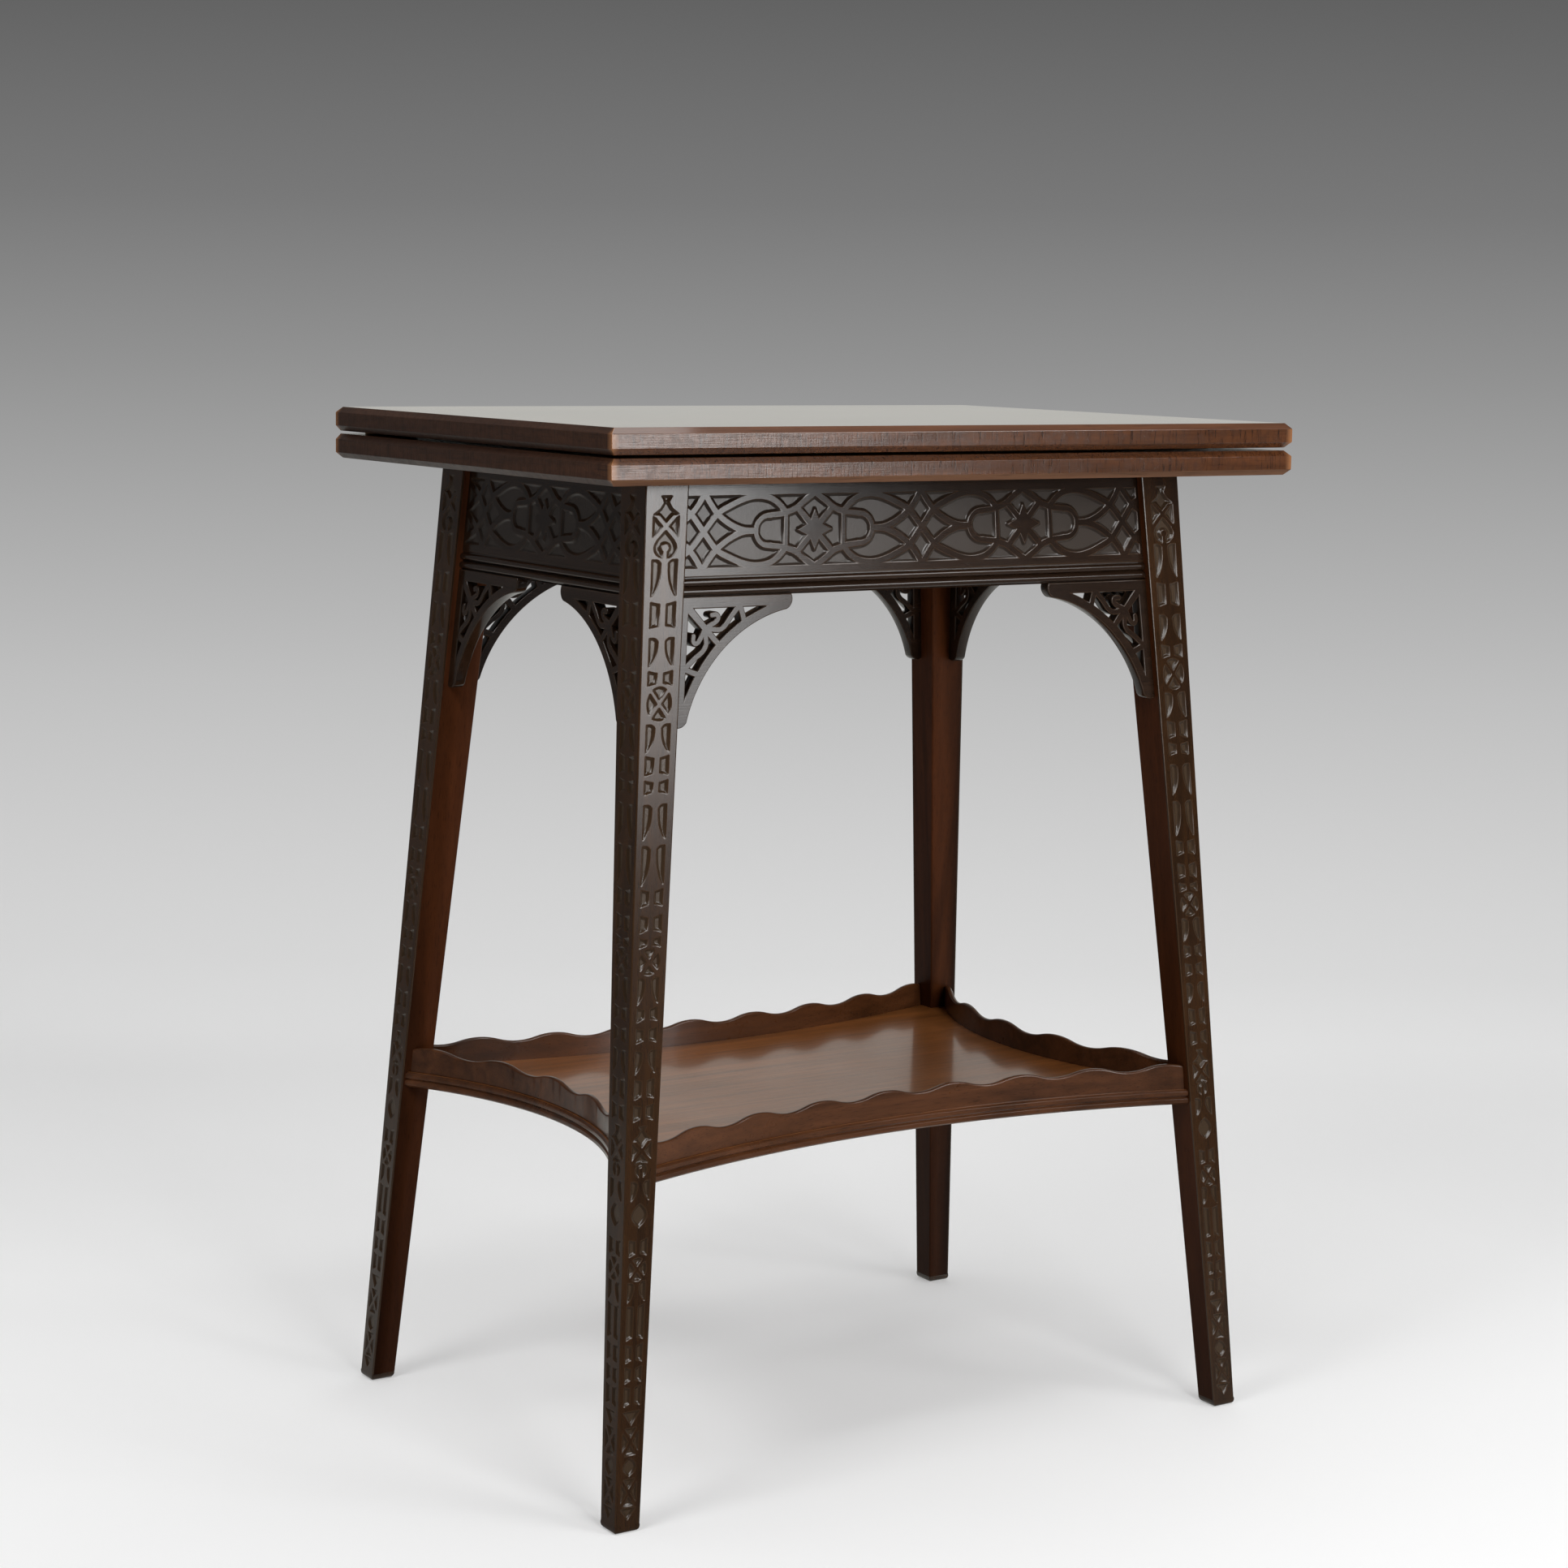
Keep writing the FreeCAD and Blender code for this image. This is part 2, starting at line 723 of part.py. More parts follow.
def well_cleat(side):
    """Strip along the foot of a rail's inner face."""
    half = side.inner(rail_bottom) - cleat_end_margin
    strip = side.slab(rail_setback + rail_thick, cleat_thick, rail_bottom, rail_bottom + cleat_height)
    ends = block(
        side.along * -half - side.inward * BEYOND,
        side.along * half + Z * BEYOND * 2,
    )
    return strip.common(ends)


def build():
    """All pieces by name."""
    parts = {}

    # Frame: legs, rails, pivot rail
    fit = joint_clearance
    blank = leg_blank(0)
    dowel_hole = shelf_dowel(fit / 2)
    leg = blank.cut([tenons(LONG, fit), tenons(SHORT, fit), dowel_hole])
    for corner, shape in four_corners(leg).items():
        parts["leg_" + corner] = shape
    blanks = list(four_corners(blank).values())
    loose_blanks = list(four_corners(leg_blank(well_clearance)).values())

    pivot_rail = pivot_rail_blank()
    rail_low = frame_top - pivot_rail_thick
    washer_top = rail_low - swivel_gap
    nut_top = washer_top - washer_thick
    nut_bottom = nut_top - nut_height
    relief = pivot_column(washer_size / math.sqrt(2) + hardware_clearance, nut_bottom, rail_low)
    long_rail = rail(LONG)
    short_rail = rail(SHORT)
    parts["front_rail"] = long_rail.cut(pivot_rail)
    parts["back_rail"] = mirrored(long_rail, Y).cut([pivot_rail, relief])
    parts["left_rail"] = short_rail
    parts["right_rail"] = mirrored(short_rail, X)
    spindle_hole = pivot_column(spindle_radius + spindle_clearance, rail_low, frame_top)
    parts["pivot_rail"] = pivot_rail.cut([spindle_hole, stop_peg(fit / 2)])
    parts["swivel_stop_peg"] = stop_peg(0)

    # Spandrel brackets under the long and the short rails
    for corner, shape in four_corners(bracket(LONG)).items():
        parts["bracket_" + corner] = shape
    for corner, shape in four_corners(bracket(SHORT)).items():
        parts["side_bracket_" + corner] = shape

    # Shelf and its gallery
    long_gallery = gallery(LONG_HOLLOW, long_wave_count)
    short_gallery = gallery(SHORT_HOLLOW, short_wave_count)
    parts["gallery_front"] = long_gallery
    parts["gallery_back"] = mirrored(long_gallery, Y)
    parts["gallery_left"] = short_gallery
    parts["gallery_right"] = mirrored(short_gallery, X)
    dowel_holes = list(four_corners(dowel_hole).values())
    parts["shelf"] = shelf_board(blanks).cut(dowel_holes)
    parts["shelf_dowels"] = Part.makeCompound(list(four_corners(shelf_dowel(0)).values()))

    # Card well
    parts["well_board"] = well_board(loose_blanks)
    long_cleat = well_cleat(LONG)
    parts["well_cleats"] = Part.makeCompound([long_cleat, mirrored(long_cleat, Y)])

    # Leaves, baize and hinges
    leaf = leaf_with_hinges()
    screws_in_plate = pivot_screws(screw_clearance)
    parts["lower_leaf"] = leaf.cut([stop_groove(), pivot_plate_blank()] + screws_in_plate)
    parts["upper_leaf"] = to_upper_leaf(leaf)
    baize_top = fold_z - baize_clearance / 2
    parts["lower_baize"] = baize_block(baize_clearance, lower_face - baize_recess, baize_top)
    parts["upper_baize"] = to_upper_leaf(parts["lower_baize"])
    for name, x in (("left", -hinge_x), ("right", hinge_x)):
        parts["lower_hinge_plate_" + name] = hinge_plate(x, 0)
        parts["upper_hinge_plate_" + name] = to_upper_leaf(hinge_plate(x, 1))
        parts["hinge_pin_" + name] = hinge_pin(x, 0)
    parts["lower_hinge_screws"] = hinge_screws()
    parts["upper_hinge_screws"] = to_upper_leaf(hinge_screws())

    # Swivel hardware under the lower leaf
    plate_top = lower_bottom + pivot_plate_thick
    plate_bore = pivot_column(spindle_radius + fit / 2, lower_bottom, plate_top)
    parts["pivot_plate"] = pivot_plate_blank().cut([plate_bore] + screws_in_plate)
    parts["pivot_screws"] = Part.makeCompound(pivot_screws(0))
    parts["pivot_spindle"] = pivot_column(spindle_radius, nut_bottom - spindle_tail, plate_top)
    hardware_bore = pivot_column(spindle_radius + fit / 2, nut_bottom, washer_top)
    half = washer_size / 2
    washer = block(pivot_spot(-half, -half, nut_top), pivot_spot(half, half, washer_top))
    parts["pivot_washer"] = washer.cut(hardware_bore)
    parts["pivot_nut"] = hex_nut(nut_bottom, nut_top).cut(hardware_bore)
    return parts


os.makedirs("parts", exist_ok=True)
for node, shape in build().items():
    shape.exportStep("parts/" + node + ".step")
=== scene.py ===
import math

import bmesh
import bpy
import numpy as np
from mathutils import Matrix, Vector
from mathutils.geometry import delaunay_2d_cdt
from mathutils.kdtree import KDTree


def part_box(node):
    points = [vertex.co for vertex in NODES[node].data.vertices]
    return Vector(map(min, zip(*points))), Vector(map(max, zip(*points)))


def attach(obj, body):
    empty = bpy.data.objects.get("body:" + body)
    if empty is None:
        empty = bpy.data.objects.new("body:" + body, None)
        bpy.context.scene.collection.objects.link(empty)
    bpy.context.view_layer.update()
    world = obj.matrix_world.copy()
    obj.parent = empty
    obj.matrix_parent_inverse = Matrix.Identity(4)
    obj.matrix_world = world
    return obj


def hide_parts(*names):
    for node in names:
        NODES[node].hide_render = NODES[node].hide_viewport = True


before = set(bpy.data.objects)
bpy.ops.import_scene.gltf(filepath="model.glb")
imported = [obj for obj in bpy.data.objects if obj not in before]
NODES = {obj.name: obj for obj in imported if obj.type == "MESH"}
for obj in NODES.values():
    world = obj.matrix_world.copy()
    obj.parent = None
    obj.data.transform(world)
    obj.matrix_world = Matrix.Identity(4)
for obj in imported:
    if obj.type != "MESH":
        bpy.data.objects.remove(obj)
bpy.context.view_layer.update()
MM = 0.001

# Sizes in millimetres, read from the frame where it holds them


def gathered(items, key, width=1, kind=float):
    """One value, or a row of values, from every item of a mesh."""
    flat = np.empty(width * len(items), dtype=kind)
    items.foreach_get(key, flat)
    return flat.reshape(-1, width) if width > 1 else flat


def corners_mm(name):
    """Lowest and highest corner of a CAD node, in millimetres."""
    low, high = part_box(name)
    return np.array(low) / MM, np.array(high) / MM


def points_mm(name):
    """The points of a CAD node's mesh, in millimetres."""
    return gathered(NODES[name].data.vertices, "co", 3) / MM


same_level = 0.01
tiny = 1e-9


class LegLine:
    """Outer and inner face of the legs along one axis, from the foot's chamfer to the top."""

    def __init__(self, axis):
        points = np.abs(points_mm("leg_back_right"))
        height = points[:, 2]
        self.top = height.max()
        self.low = np.unique(height.round(3))[1]
        at_top = points[np.abs(height - self.top) < same_level, axis]
        at_low = points[np.abs(height - self.low) < same_level, axis]
        self.outer = self.line(at_low.max(), at_top.max())
        self.inner = self.line(at_low.min(), at_top.min())

    def line(self, low, top):
        """A straight line over the height, as a function."""
        return lambda z: low + (top - low) * (z - self.low) / (self.top - self.low)


LEG_X = LegLine(0)
LEG_Y = LegLine(1)
frame_top = LEG_X.top
rail_setback = 6.0
rail_thick = 20.0
rail_end_overlap = 1.0
rail_bottom = corners_mm("front_rail")[0][2]

carve_depth = 1.35
carve_profile = ((-1.5, 0.0), (-0.9, 0.25), (-0.4, 0.62), (0.05, 1.03), (0.85, carve_depth))
carve_overrun = 0.8
outline_step = 0.3
outline_samples = 4
outline_tolerance = 0.05
outline_margin = 11
shortest_outline = 8
thinnest_outline = 0.3
curve_steps = 6
ring_steps = 14

sculpt_merge = 0.002
solid_merge = 0.001
drawing_merge = 1e-6
broad_face = 30
level_cosine = 0.7
upward_cosine = 0.9
flat_angle = 0.4
eased_angle = 25
solid_sharp_angle = 30
sculpt_sharp_angle = 38

bead_radius = 2.5
bead_pitch = 6.2
bead_low = 3.6
bead_band = 13.2
bead_seat = 0.9
bead_angles = range(80, -81, -20)
quirk_depth = 1.4
quirk_gap = 0.35
face_lip = 0.6
fret_middle = 658.4
fret_half_height = 23.4
fret_half_period = 88.0
fret_strap = 5.2
fret_post = 4.2
fret_ring = 4.6
fret_end = 3.0
fret_end_overlap = 0.2
star_base = 14.0
star_reach = 13.2
star_tip = 1.6

leg_width = 26.0
leg_margin = 5.2
leg_arris = 0.15
leg_inner_ease = 0.8
pair_stem = 2.3
pair_bow = 1.6
flare_stem = 2.5
flare_curve = 3.2
flare_shoulder = (2.2, 3.0)
cross_arm = 3.4
roundel_arm = 3.0
bud_share = 0.42
bud_half_stem = 1.6
leaf_inset = 1.5
wedge_slope = 0.8
foot_plain = 5.0
foot_round = 3.2
foot_steps = (0.0, 0.6, 1.6)

bracket_length = 89.0
bracket_drop = 86.0
bracket_thick = 9.0
bracket_setback = 5.0
bracket_overlap = 0.5
bracket_band = 7.6
bracket_stile = 7.4
bracket_rim = 7.0
bracket_profile = ((0.0, bracket_thick - 0.9), (0.25, bracket_thick - 0.3), (0.8, bracket_thick))
bracket_arch = ((82.5, 10.5), (35.5, 35.5), (10.5, 79.5))
bracket_nose = ((81.8, 3.6), 7.1)
bracket_toe = ((3.6, 78.8), 7.2)
diagonal_line, diagonal_width, diagonal_end = ((4, 4), (36, 36)), 6.4, 4.4
branch_line, branch_width = ((22, 20.5), (31, 22), (36, 19.5), (40, 14), (44, 9.5), (48, 5)), 4.4
bud_line, bud_width = ((22.5, 19.5), (28.6, 16.8), (30.6, 14), (29, 11.9), (25.5, 12)), 4.2
post_line, post_width = ((47, 6), (52, 19)), 4.8

shelf_ease = 0.5
gallery_ease = 1.3
inner_ease = 0.6
leaf_ease = 0.9
plate_ease = 0.2
leaf_corner = corners_mm("upper_leaf")[1][:2]
rubbed_corner = (6, 1)
side_tilt = 0.3
baize_thick = 1.2
baize_ease = 0.5
baize_columns, baize_rows = 60, 42
baize_wave, baize_wave_x, baize_wave_y = 0.06, 0.083, 0.061

screw_sides = 32
screw_near = 7.25
screw_rim = 0.2
screw_shank, screw_cone = 1.4, 1.8
screw_tip, screw_point = 0.2, 2.0
slot_length = 4.6
slot_width = 0.9
slot_depth = 0.7
slot_first_turn, slot_turn_step = 0.6, 1.1

# Mesh tools

SUNK, WALL, RUBBED, RAISED, MOULDED, PLAIN = 0.0, 0.25, 0.5, 1.0, 1.125, 2.0


class Sculpt:
    """Points and faces in millimetres, each face with a relief value.

    Relief is 0 on sunk ground, 1 on raised flats, in between on carved walls and
    rubbed edges, a little over 1 on moulded faces and 2 on plain inner faces.
    """

    def __init__(self, points=(), faces=(), relief=()):
        self.points = []
        self.faces = []
        self.relief = []
        self.add(points, faces, relief)

    def add(self, points, faces, relief):
        start = len(self.points)
        self.points += [tuple(point) for point in points]
        self.faces += [[start + i for i in face] for face in faces]
        self.relief += np.broadcast_to(relief, len(faces)).tolist()
        return self

    def join(self, other):
        return self.add(other.points, other.faces, other.relief)

    def mapped(self, place, flip=False):
        """A copy with its points put through a function; flip turns its faces over."""
        faces = [face[::-1] for face in self.faces] if flip else self.faces
        return Sculpt(place(np.array(self.points)), faces, self.relief)

    def mirrored(self, sign_x, sign_y):
        """A copy turned to another corner or side of the table."""
        return self.mapped(lambda points: points * (sign_x, sign_y, 1), flip=sign_x * sign_y < 0)

    def turned(self):
        """A copy with x and y changed over."""
        return self.mapped(lambda points: points[:, [1, 0, 2]], flip=True)

    def without(self, dropped):
        """A copy without the faces whose points are all dropped."""
        gone = dropped(np.array(self.points))
        kept = [i for i, face in enumerate(self.faces) if not gone[face].all()]
        return Sculpt(self.points, [self.faces[i] for i in kept], [self.relief[i] for i in kept])


def ring_faces(rings, count, closed=True):
    """Faces between rings of points that follow one another, and over both ends."""
    last = (rings - 1) * count
    faces = []
    for low in range(0, last, count):
        for i in range(count):
            j = (i + 1) % count
            faces.append([low + i, low + j, low + count + j, low + count + i])
    if closed:
        faces += [list(range(count))[::-1], list(range(last, last + count))]
    return faces


def smooth_by_angle(mesh, degrees):
    mesh.shade_smooth()
    mesh.set_sharp_from_angle(angle=math.radians(degrees))


def coloured(mesh, material):
    mesh.materials.clear()
    mesh.materials.append(material)


def placed(name, data):
    made = bpy.data.objects.new(name, data)
    bpy.context.collection.objects.link(made)
    return made


def show(name, mesh, body, nodes, material):
    """Puts a mesh in the scene as a piece that stands for CAD nodes."""
    piece = placed(name, mesh)
    coloured(mesh, material)
    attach(piece, body)
    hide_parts(*nodes)
    return piece


def level_flats(mesh, flats):
    """Keeps flat faces level right up to their rounded edges."""
    counts = gathered(mesh.polygons, "loop_total", kind=np.int32)
    spots = gathered(mesh.loops, "vertex_index", kind=np.int32)
    facing = np.repeat(gathered(mesh.polygons, "normal", 3), counts, axis=0)
    normals = gathered(mesh.corner_normals, "vector", 3)
    on_flat = np.repeat(flats, counts)
    level = np.zeros((len(mesh.vertices), 3))
    level[spots[on_flat]] = facing[on_flat]
    level = level[spots]
    near = (level * facing).sum(axis=1) > level_cosine
    normals[near] = level[near]
    mesh.normals_split_custom_set(normals)


def show_sculpt(name, sculpt, body, nodes, material, plain=None):
    """Puts a sculpt in the scene; its plain faces may have a material of their own."""
    mesh = bpy.data.meshes.new(name)
    mesh.from_pydata(np.array(sculpt.points) * MM, [], sculpt.faces)
    layer = mesh.attributes.new("relief", "FLOAT", "FACE")
    layer.data.foreach_set("value", sculpt.relief)
    work = bmesh.new()
    work.from_mesh(mesh)
    bmesh.ops.remove_doubles(work, verts=work.verts, dist=sculpt_merge * MM)
    bmesh.ops.dissolve_degenerate(work, dist=sculpt_merge * MM, edges=work.edges)
    loose = [vert for vert in work.verts if not vert.link_faces]
    bmesh.ops.delete(work, geom=loose, context="VERTS")
    work.to_mesh(mesh)
    work.free()
    smooth_by_angle(mesh, sculpt_sharp_angle)
    relief = gathered(mesh.attributes["relief"].data, "value")
    level_flats(mesh, relief == RAISED)
    piece = show(name, mesh, body, nodes, material)
    if plain is not None:
        mesh.materials.append(plain)
        mesh.polygons.foreach_set("material_index", (relief == PLAIN).astype(int))
    return piece


def softened(name, body, material, width, segments=2):
    """A copy of a CAD node with its edges eased by a small round."""
    mesh = NODES[name].data.copy()
    work = bmesh.new()
    work.from_mesh(mesh)
    bmesh.ops.remove_doubles(work, verts=work.verts, dist=solid_merge * MM)
    bmesh.ops.dissolve_limit(
        work, angle_limit=math.radians(flat_angle), verts=work.verts, edges=work.edges
    )
    work.to_mesh(mesh)
    work.free()
    piece = show(name + "_eased", mesh, body, [name], material)
    bevel = piece.modifiers.new("eased", "BEVEL")
    bevel.width = width * MM
    bevel.segments = segments
    bevel.limit_method = "ANGLE"
    bevel.angle_limit = math.radians(eased_angle)
    depsgraph = bpy.context.evaluated_depsgraph_get()
    eased = bpy.data.meshes.new_from_object(piece.evaluated_get(depsgraph))
    piece.modifiers.clear()
    piece.data = eased
    smooth_by_angle(eased, solid_sharp_angle)
    level_flats(eased, np.array([face.area > broad_face * MM * MM for face in eased.polygons]))
    return piece


# Outline tools: a drawing is a field over a grid, positive where wood stands


def strap(grid, points, width, end_width=None):
    """Strap of wood along a line of points, tapered if it has an end width."""
    x, y = grid
    end_width = width if end_width is None else end_width
    lengths = [math.dist(a, b) for a, b in zip(points, points[1:])]
    whole = sum(lengths)
    done = 0.0
    field = np.full(x.shape, -np.inf)
    for (ax, ay), (bx, by), length in zip(points, points[1:], lengths):
        dx, dy = bx - ax, by - ay
        share = np.clip(((x - ax) * dx + (y - ay) * dy) / length ** 2, 0, 1)
        away = np.hypot(x - ax - share * dx, y - ay - share * dy)
        half = (width + (end_width - width) * (done + share * length) / whole) / 2
        field = np.maximum(field, half - away)
        done += length
    return field


def flowing(points):
    """A smooth line through the points."""
    knots = [np.array(point, dtype=float) for point in points]
    knots = [2 * knots[0] - knots[1]] + knots + [2 * knots[-1] - knots[-2]]
    line = []
    for a, b, c, d in zip(knots, knots[1:], knots[2:], knots[3:]):
        for t in np.arange(curve_steps) / curve_steps:
            line.append(
                0.5 * (2 * b + (c - a) * t + (2 * a - 5 * b + 4 * c - d) * t ** 2
                       + (3 * b - a - 3 * c + d) * t ** 3)
            )
    line.append(knots[-2])
    return [tuple(point) for point in line]


def ring_line(centre, radius, first, last):
    """Points along a circle between two angles in degrees."""
    angles = np.radians(np.linspace(first, last, ring_steps))
    return [(centre[0] + radius * math.cos(a), centre[1] + radius * math.sin(a)) for a in angles]


def drawing_grid(x_low, x_high, y_low, y_high):
    """Grid that goes some steps past the drawing, so every outline closes."""
    past = outline_margin * outline_step
    xs = np.arange(x_low - past, x_high + past + outline_step / 2, outline_step)
    ys = np.arange(y_low - past, y_high + past + outline_step / 2, outline_step)
    return xs, ys, np.meshgrid(xs, ys)


def least(*fields):
    """Wood only where every field has it."""
    return np.minimum.reduce(fields)


def inside_box(grid, x_low, x_high, y_low, y_high):
    x, y = grid
    return least(x - x_low, x_high - x, y - y_low, y_high - y)


# Cell sides are numbered 0 south, 1 east, 2 north, 3 west; wood stays on the left
CELL_SIDES = (("across", 0, 0), ("up", 0, 1), ("across", 1, 0), ("up", 0, 0))
CELL_LINES = {
    1: [(0, 3)], 2: [(1, 0)], 3: [(1, 3)], 4: [(2, 1)], 5: [(0, 3), (2, 1)],
    6: [(2, 0)], 7: [(2, 3)], 8: [(3, 2)], 9: [(0, 2)], 10: [(1, 0), (3, 2)],
    11: [(1, 2)], 12: [(3, 1)], 13: [(0, 1)], 14: [(3, 0)],
}


def outlines(field, xs, ys):
    """Closed outlines of the wood, each an array of points with wood on its left."""
    solid = field > 0
    code = solid[:-1, :-1] * 1 + solid[:-1, 1:] * 2 + solid[1:, 1:] * 4 + solid[1:, :-1] * 8

    def side(row, column, number):
        way, up, along = CELL_SIDES[number]
        return way, row + up, column + along

    following = {}
    for row, column in zip(*np.nonzero((code > 0) & (code < 15))):
        for first, last in CELL_LINES[int(code[row, column])]:
            following[side(row, column, first)] = side(row, column, last)

    def crossing(key):
        way, row, column = key
        row_b, column_b = (row, column + 1) if way == "across" else (row + 1, column)
        here, there = field[row, column], field[row_b, column_b]
        share = here / (here - there)
        return (
            xs[column] + (xs[column_b] - xs[column]) * share,
            ys[row] + (ys[row_b] - ys[row]) * share,
        )

    loops = []
    while following:
        key = next(iter(following))
        loop = []
        while key in following:
            loop.append(crossing(key))
            key = following.pop(key)
        loops.append(np.array(loop))
    return loops


def true_distance(field, xs, ys):
    """The field as distance from its outline."""
    line = []
    for loop in outlines(field, xs, ys):
        for share in np.arange(outline_samples) / outline_samples:
            line.append(loop + (np.roll(loop, -1, axis=0) - loop) * share)
    line = np.vstack(line)
    tree = KDTree(len(line))
    for number, (x, y) in enumerate(line):
        tree.insert((x, y, 0), number)
    tree.balance()
    away = [tree.find((x, y, 0))[2] for y in ys for x in xs]
    return np.sign(field) * np.array(away).reshape(field.shape)


def mean_width(loop):
    """Area of an outline over half its length."""
    step = np.roll(loop, -1, axis=0) - loop
    area = abs((loop[:, 0] * step[:, 1] - loop[:, 1] * step[:, 0]).sum()) / 2
    return 2 * area / np.hypot(*step.T).sum()


def thinned(loop):
    """The outline with points left out where it runs straight."""
    def keep(first, last):
        start, end = loop[first], loop[last % len(loop)]
        middle = loop[first + 1:last]
        if not len(middle):
            return [first]
        run = end - start
        length = math.hypot(*run)
        offset = middle - start
        if length < tiny:
            away = np.hypot(offset[:, 0], offset[:, 1])
        else:
            away = np.abs(offset[:, 0] * run[1] - offset[:, 1] * run[0]) / length
        far = int(away.argmax())
        if away[far] < outline_tolerance:
            return [first]
        split = first + 1 + far
        return keep(first, split) + keep(split, last)

    half = len(loop) // 2
    return loop[keep(0, half) + keep(half, len(loop))]


def carved_face(field, xs, ys, profile):
    """Carved wood over a drawing, and the outlines of its foot.

    The profile gives heights at distances inside the outline, from the foot up.
    """
    spots, ties, heights, steps, feet = [], [], [], [], []
    for step, (inside, height) in enumerate(profile):
        for loop in outlines(field - inside, xs, ys):
            if len(loop) < shortest_outline or mean_width(loop) < thinnest_outline:
                continue
            loop = thinned(loop)
            start, count = len(spots), len(loop)
            spots += [Vector(spot) for spot in loop]
            ties += [(start + i, start + (i + 1) % count) for i in range(count)]
            heights += [height] * count
            steps += [step] * count
            if step == 0:
                feet.append(loop)
    made = delaunay_2d_cdt(spots, ties, [], 0, drawing_merge)
    corners, edges, triangles, from_spots, from_ties, _ = made
    origin = [sources[0] if sources else None for sources in from_spots]
    # A point where two outlines cross has the height of one of them
    for edge, sources in zip(edges, from_ties):
        for end in edge:
            if origin[end] is None and sources:
                origin[end] = ties[sources[0]][0]
    level = np.array(steps)[origin]
    flat = np.array([tuple(spot) for spot in corners])
    points = np.column_stack([flat, np.array(heights)[origin]])
    faces = np.array([tuple(face) for face in triangles])
    lowest, highest = level[faces].min(axis=1), level[faces].max(axis=1)
    last = len(profile) - 1
    relief = np.select([lowest == last, lowest == last - 1], [RAISED, RUBBED], WALL)
    kept = highest > 0
    return Sculpt(points, faces[kept].tolist(), relief[kept]), feet


# Materials


def new_material(name):
    """A material, its shader and its object's own coordinates."""
    made = bpy.data.materials.new(name)
    made.use_nodes = True
    shader = made.node_tree.nodes["Principled BSDF"]
    return made, shader, node(shader, "TexCoord").outputs["Object"]


def feed(target, inputs):
    """Sets a node's inputs to values or sockets; a colour is red, green and blue."""
    for key, value in inputs.items():
        socket = target.inputs[key]
        if isinstance(value, bpy.types.NodeSocket):
            target.id_data.links.new(value, socket)
        else:
            socket.default_value = (*value, 1) if socket.type == "RGBA" else value


def node(near, kind, inputs=None, **settings):
    """A shader node in the tree of another node or socket."""
    made = near.id_data.nodes.new("ShaderNode" + kind)
    for key, value in settings.items():
        setattr(made, key, value)
    feed(made, inputs or {})
    return made


def spread(value, low, high, to_low, to_high):
    """A value moved from one range to another and kept within it."""
    made = node(value, "MapRange", {
        "Value": value, "From Min": low, "From Max": high, "To Min": to_low, "To Max": to_high,
    })
    return made.outputs["Result"]


def mixed(share, a, b):
    """Colour between two others."""
    return node(share, "Mix", {0: share, 6: a, 7: b}, data_type="RGBA").outputs[2]


def worked(operation, *values):
    return node(values[0], "Math", dict(enumerate(values)), operation=operation).outputs[0]


def sum_of(a, b, factor):
    """a plus factor times b."""
    return worked("MULTIPLY_ADD", b, factor, a)


def product(a, b):
    return worked("MULTIPLY", a, b)


def band(value, low, full, last, high, most=1):
    """Share that rises between two values and falls again between two higher ones."""
    return product(spread(value, low, full, 0, 1), spread(value, last, high, most, 0))


def noise(place, scale=1.0, detail=4.0, rough=0.55, distort=0.0):
    """Noise between 0 and 1; the scale is in turns per metre."""
    made = node(place, "TexNoise", {
        "Vector": place, "Scale": scale, "Detail": detail, "Roughness": rough, "Distortion": distort,
    })
    return made.outputs["Fac"]


def bumped(height, strength, distance):
    made = node(height, "Bump", {"Height": height, "Strength": strength, "Distance": distance})
    return made.outputs["Normal"]


def darker(colour, share):
    return [share * part for part in colour]


def stretched(place, axis, along, across):
    """Coordinates drawn out along the grain; numbers are turns per metre."""
    scale = [across] * 3
    scale[axis] = along
    return node(place, "Mapping", {"Vector": place, "Scale": scale}).outputs["Vector"]


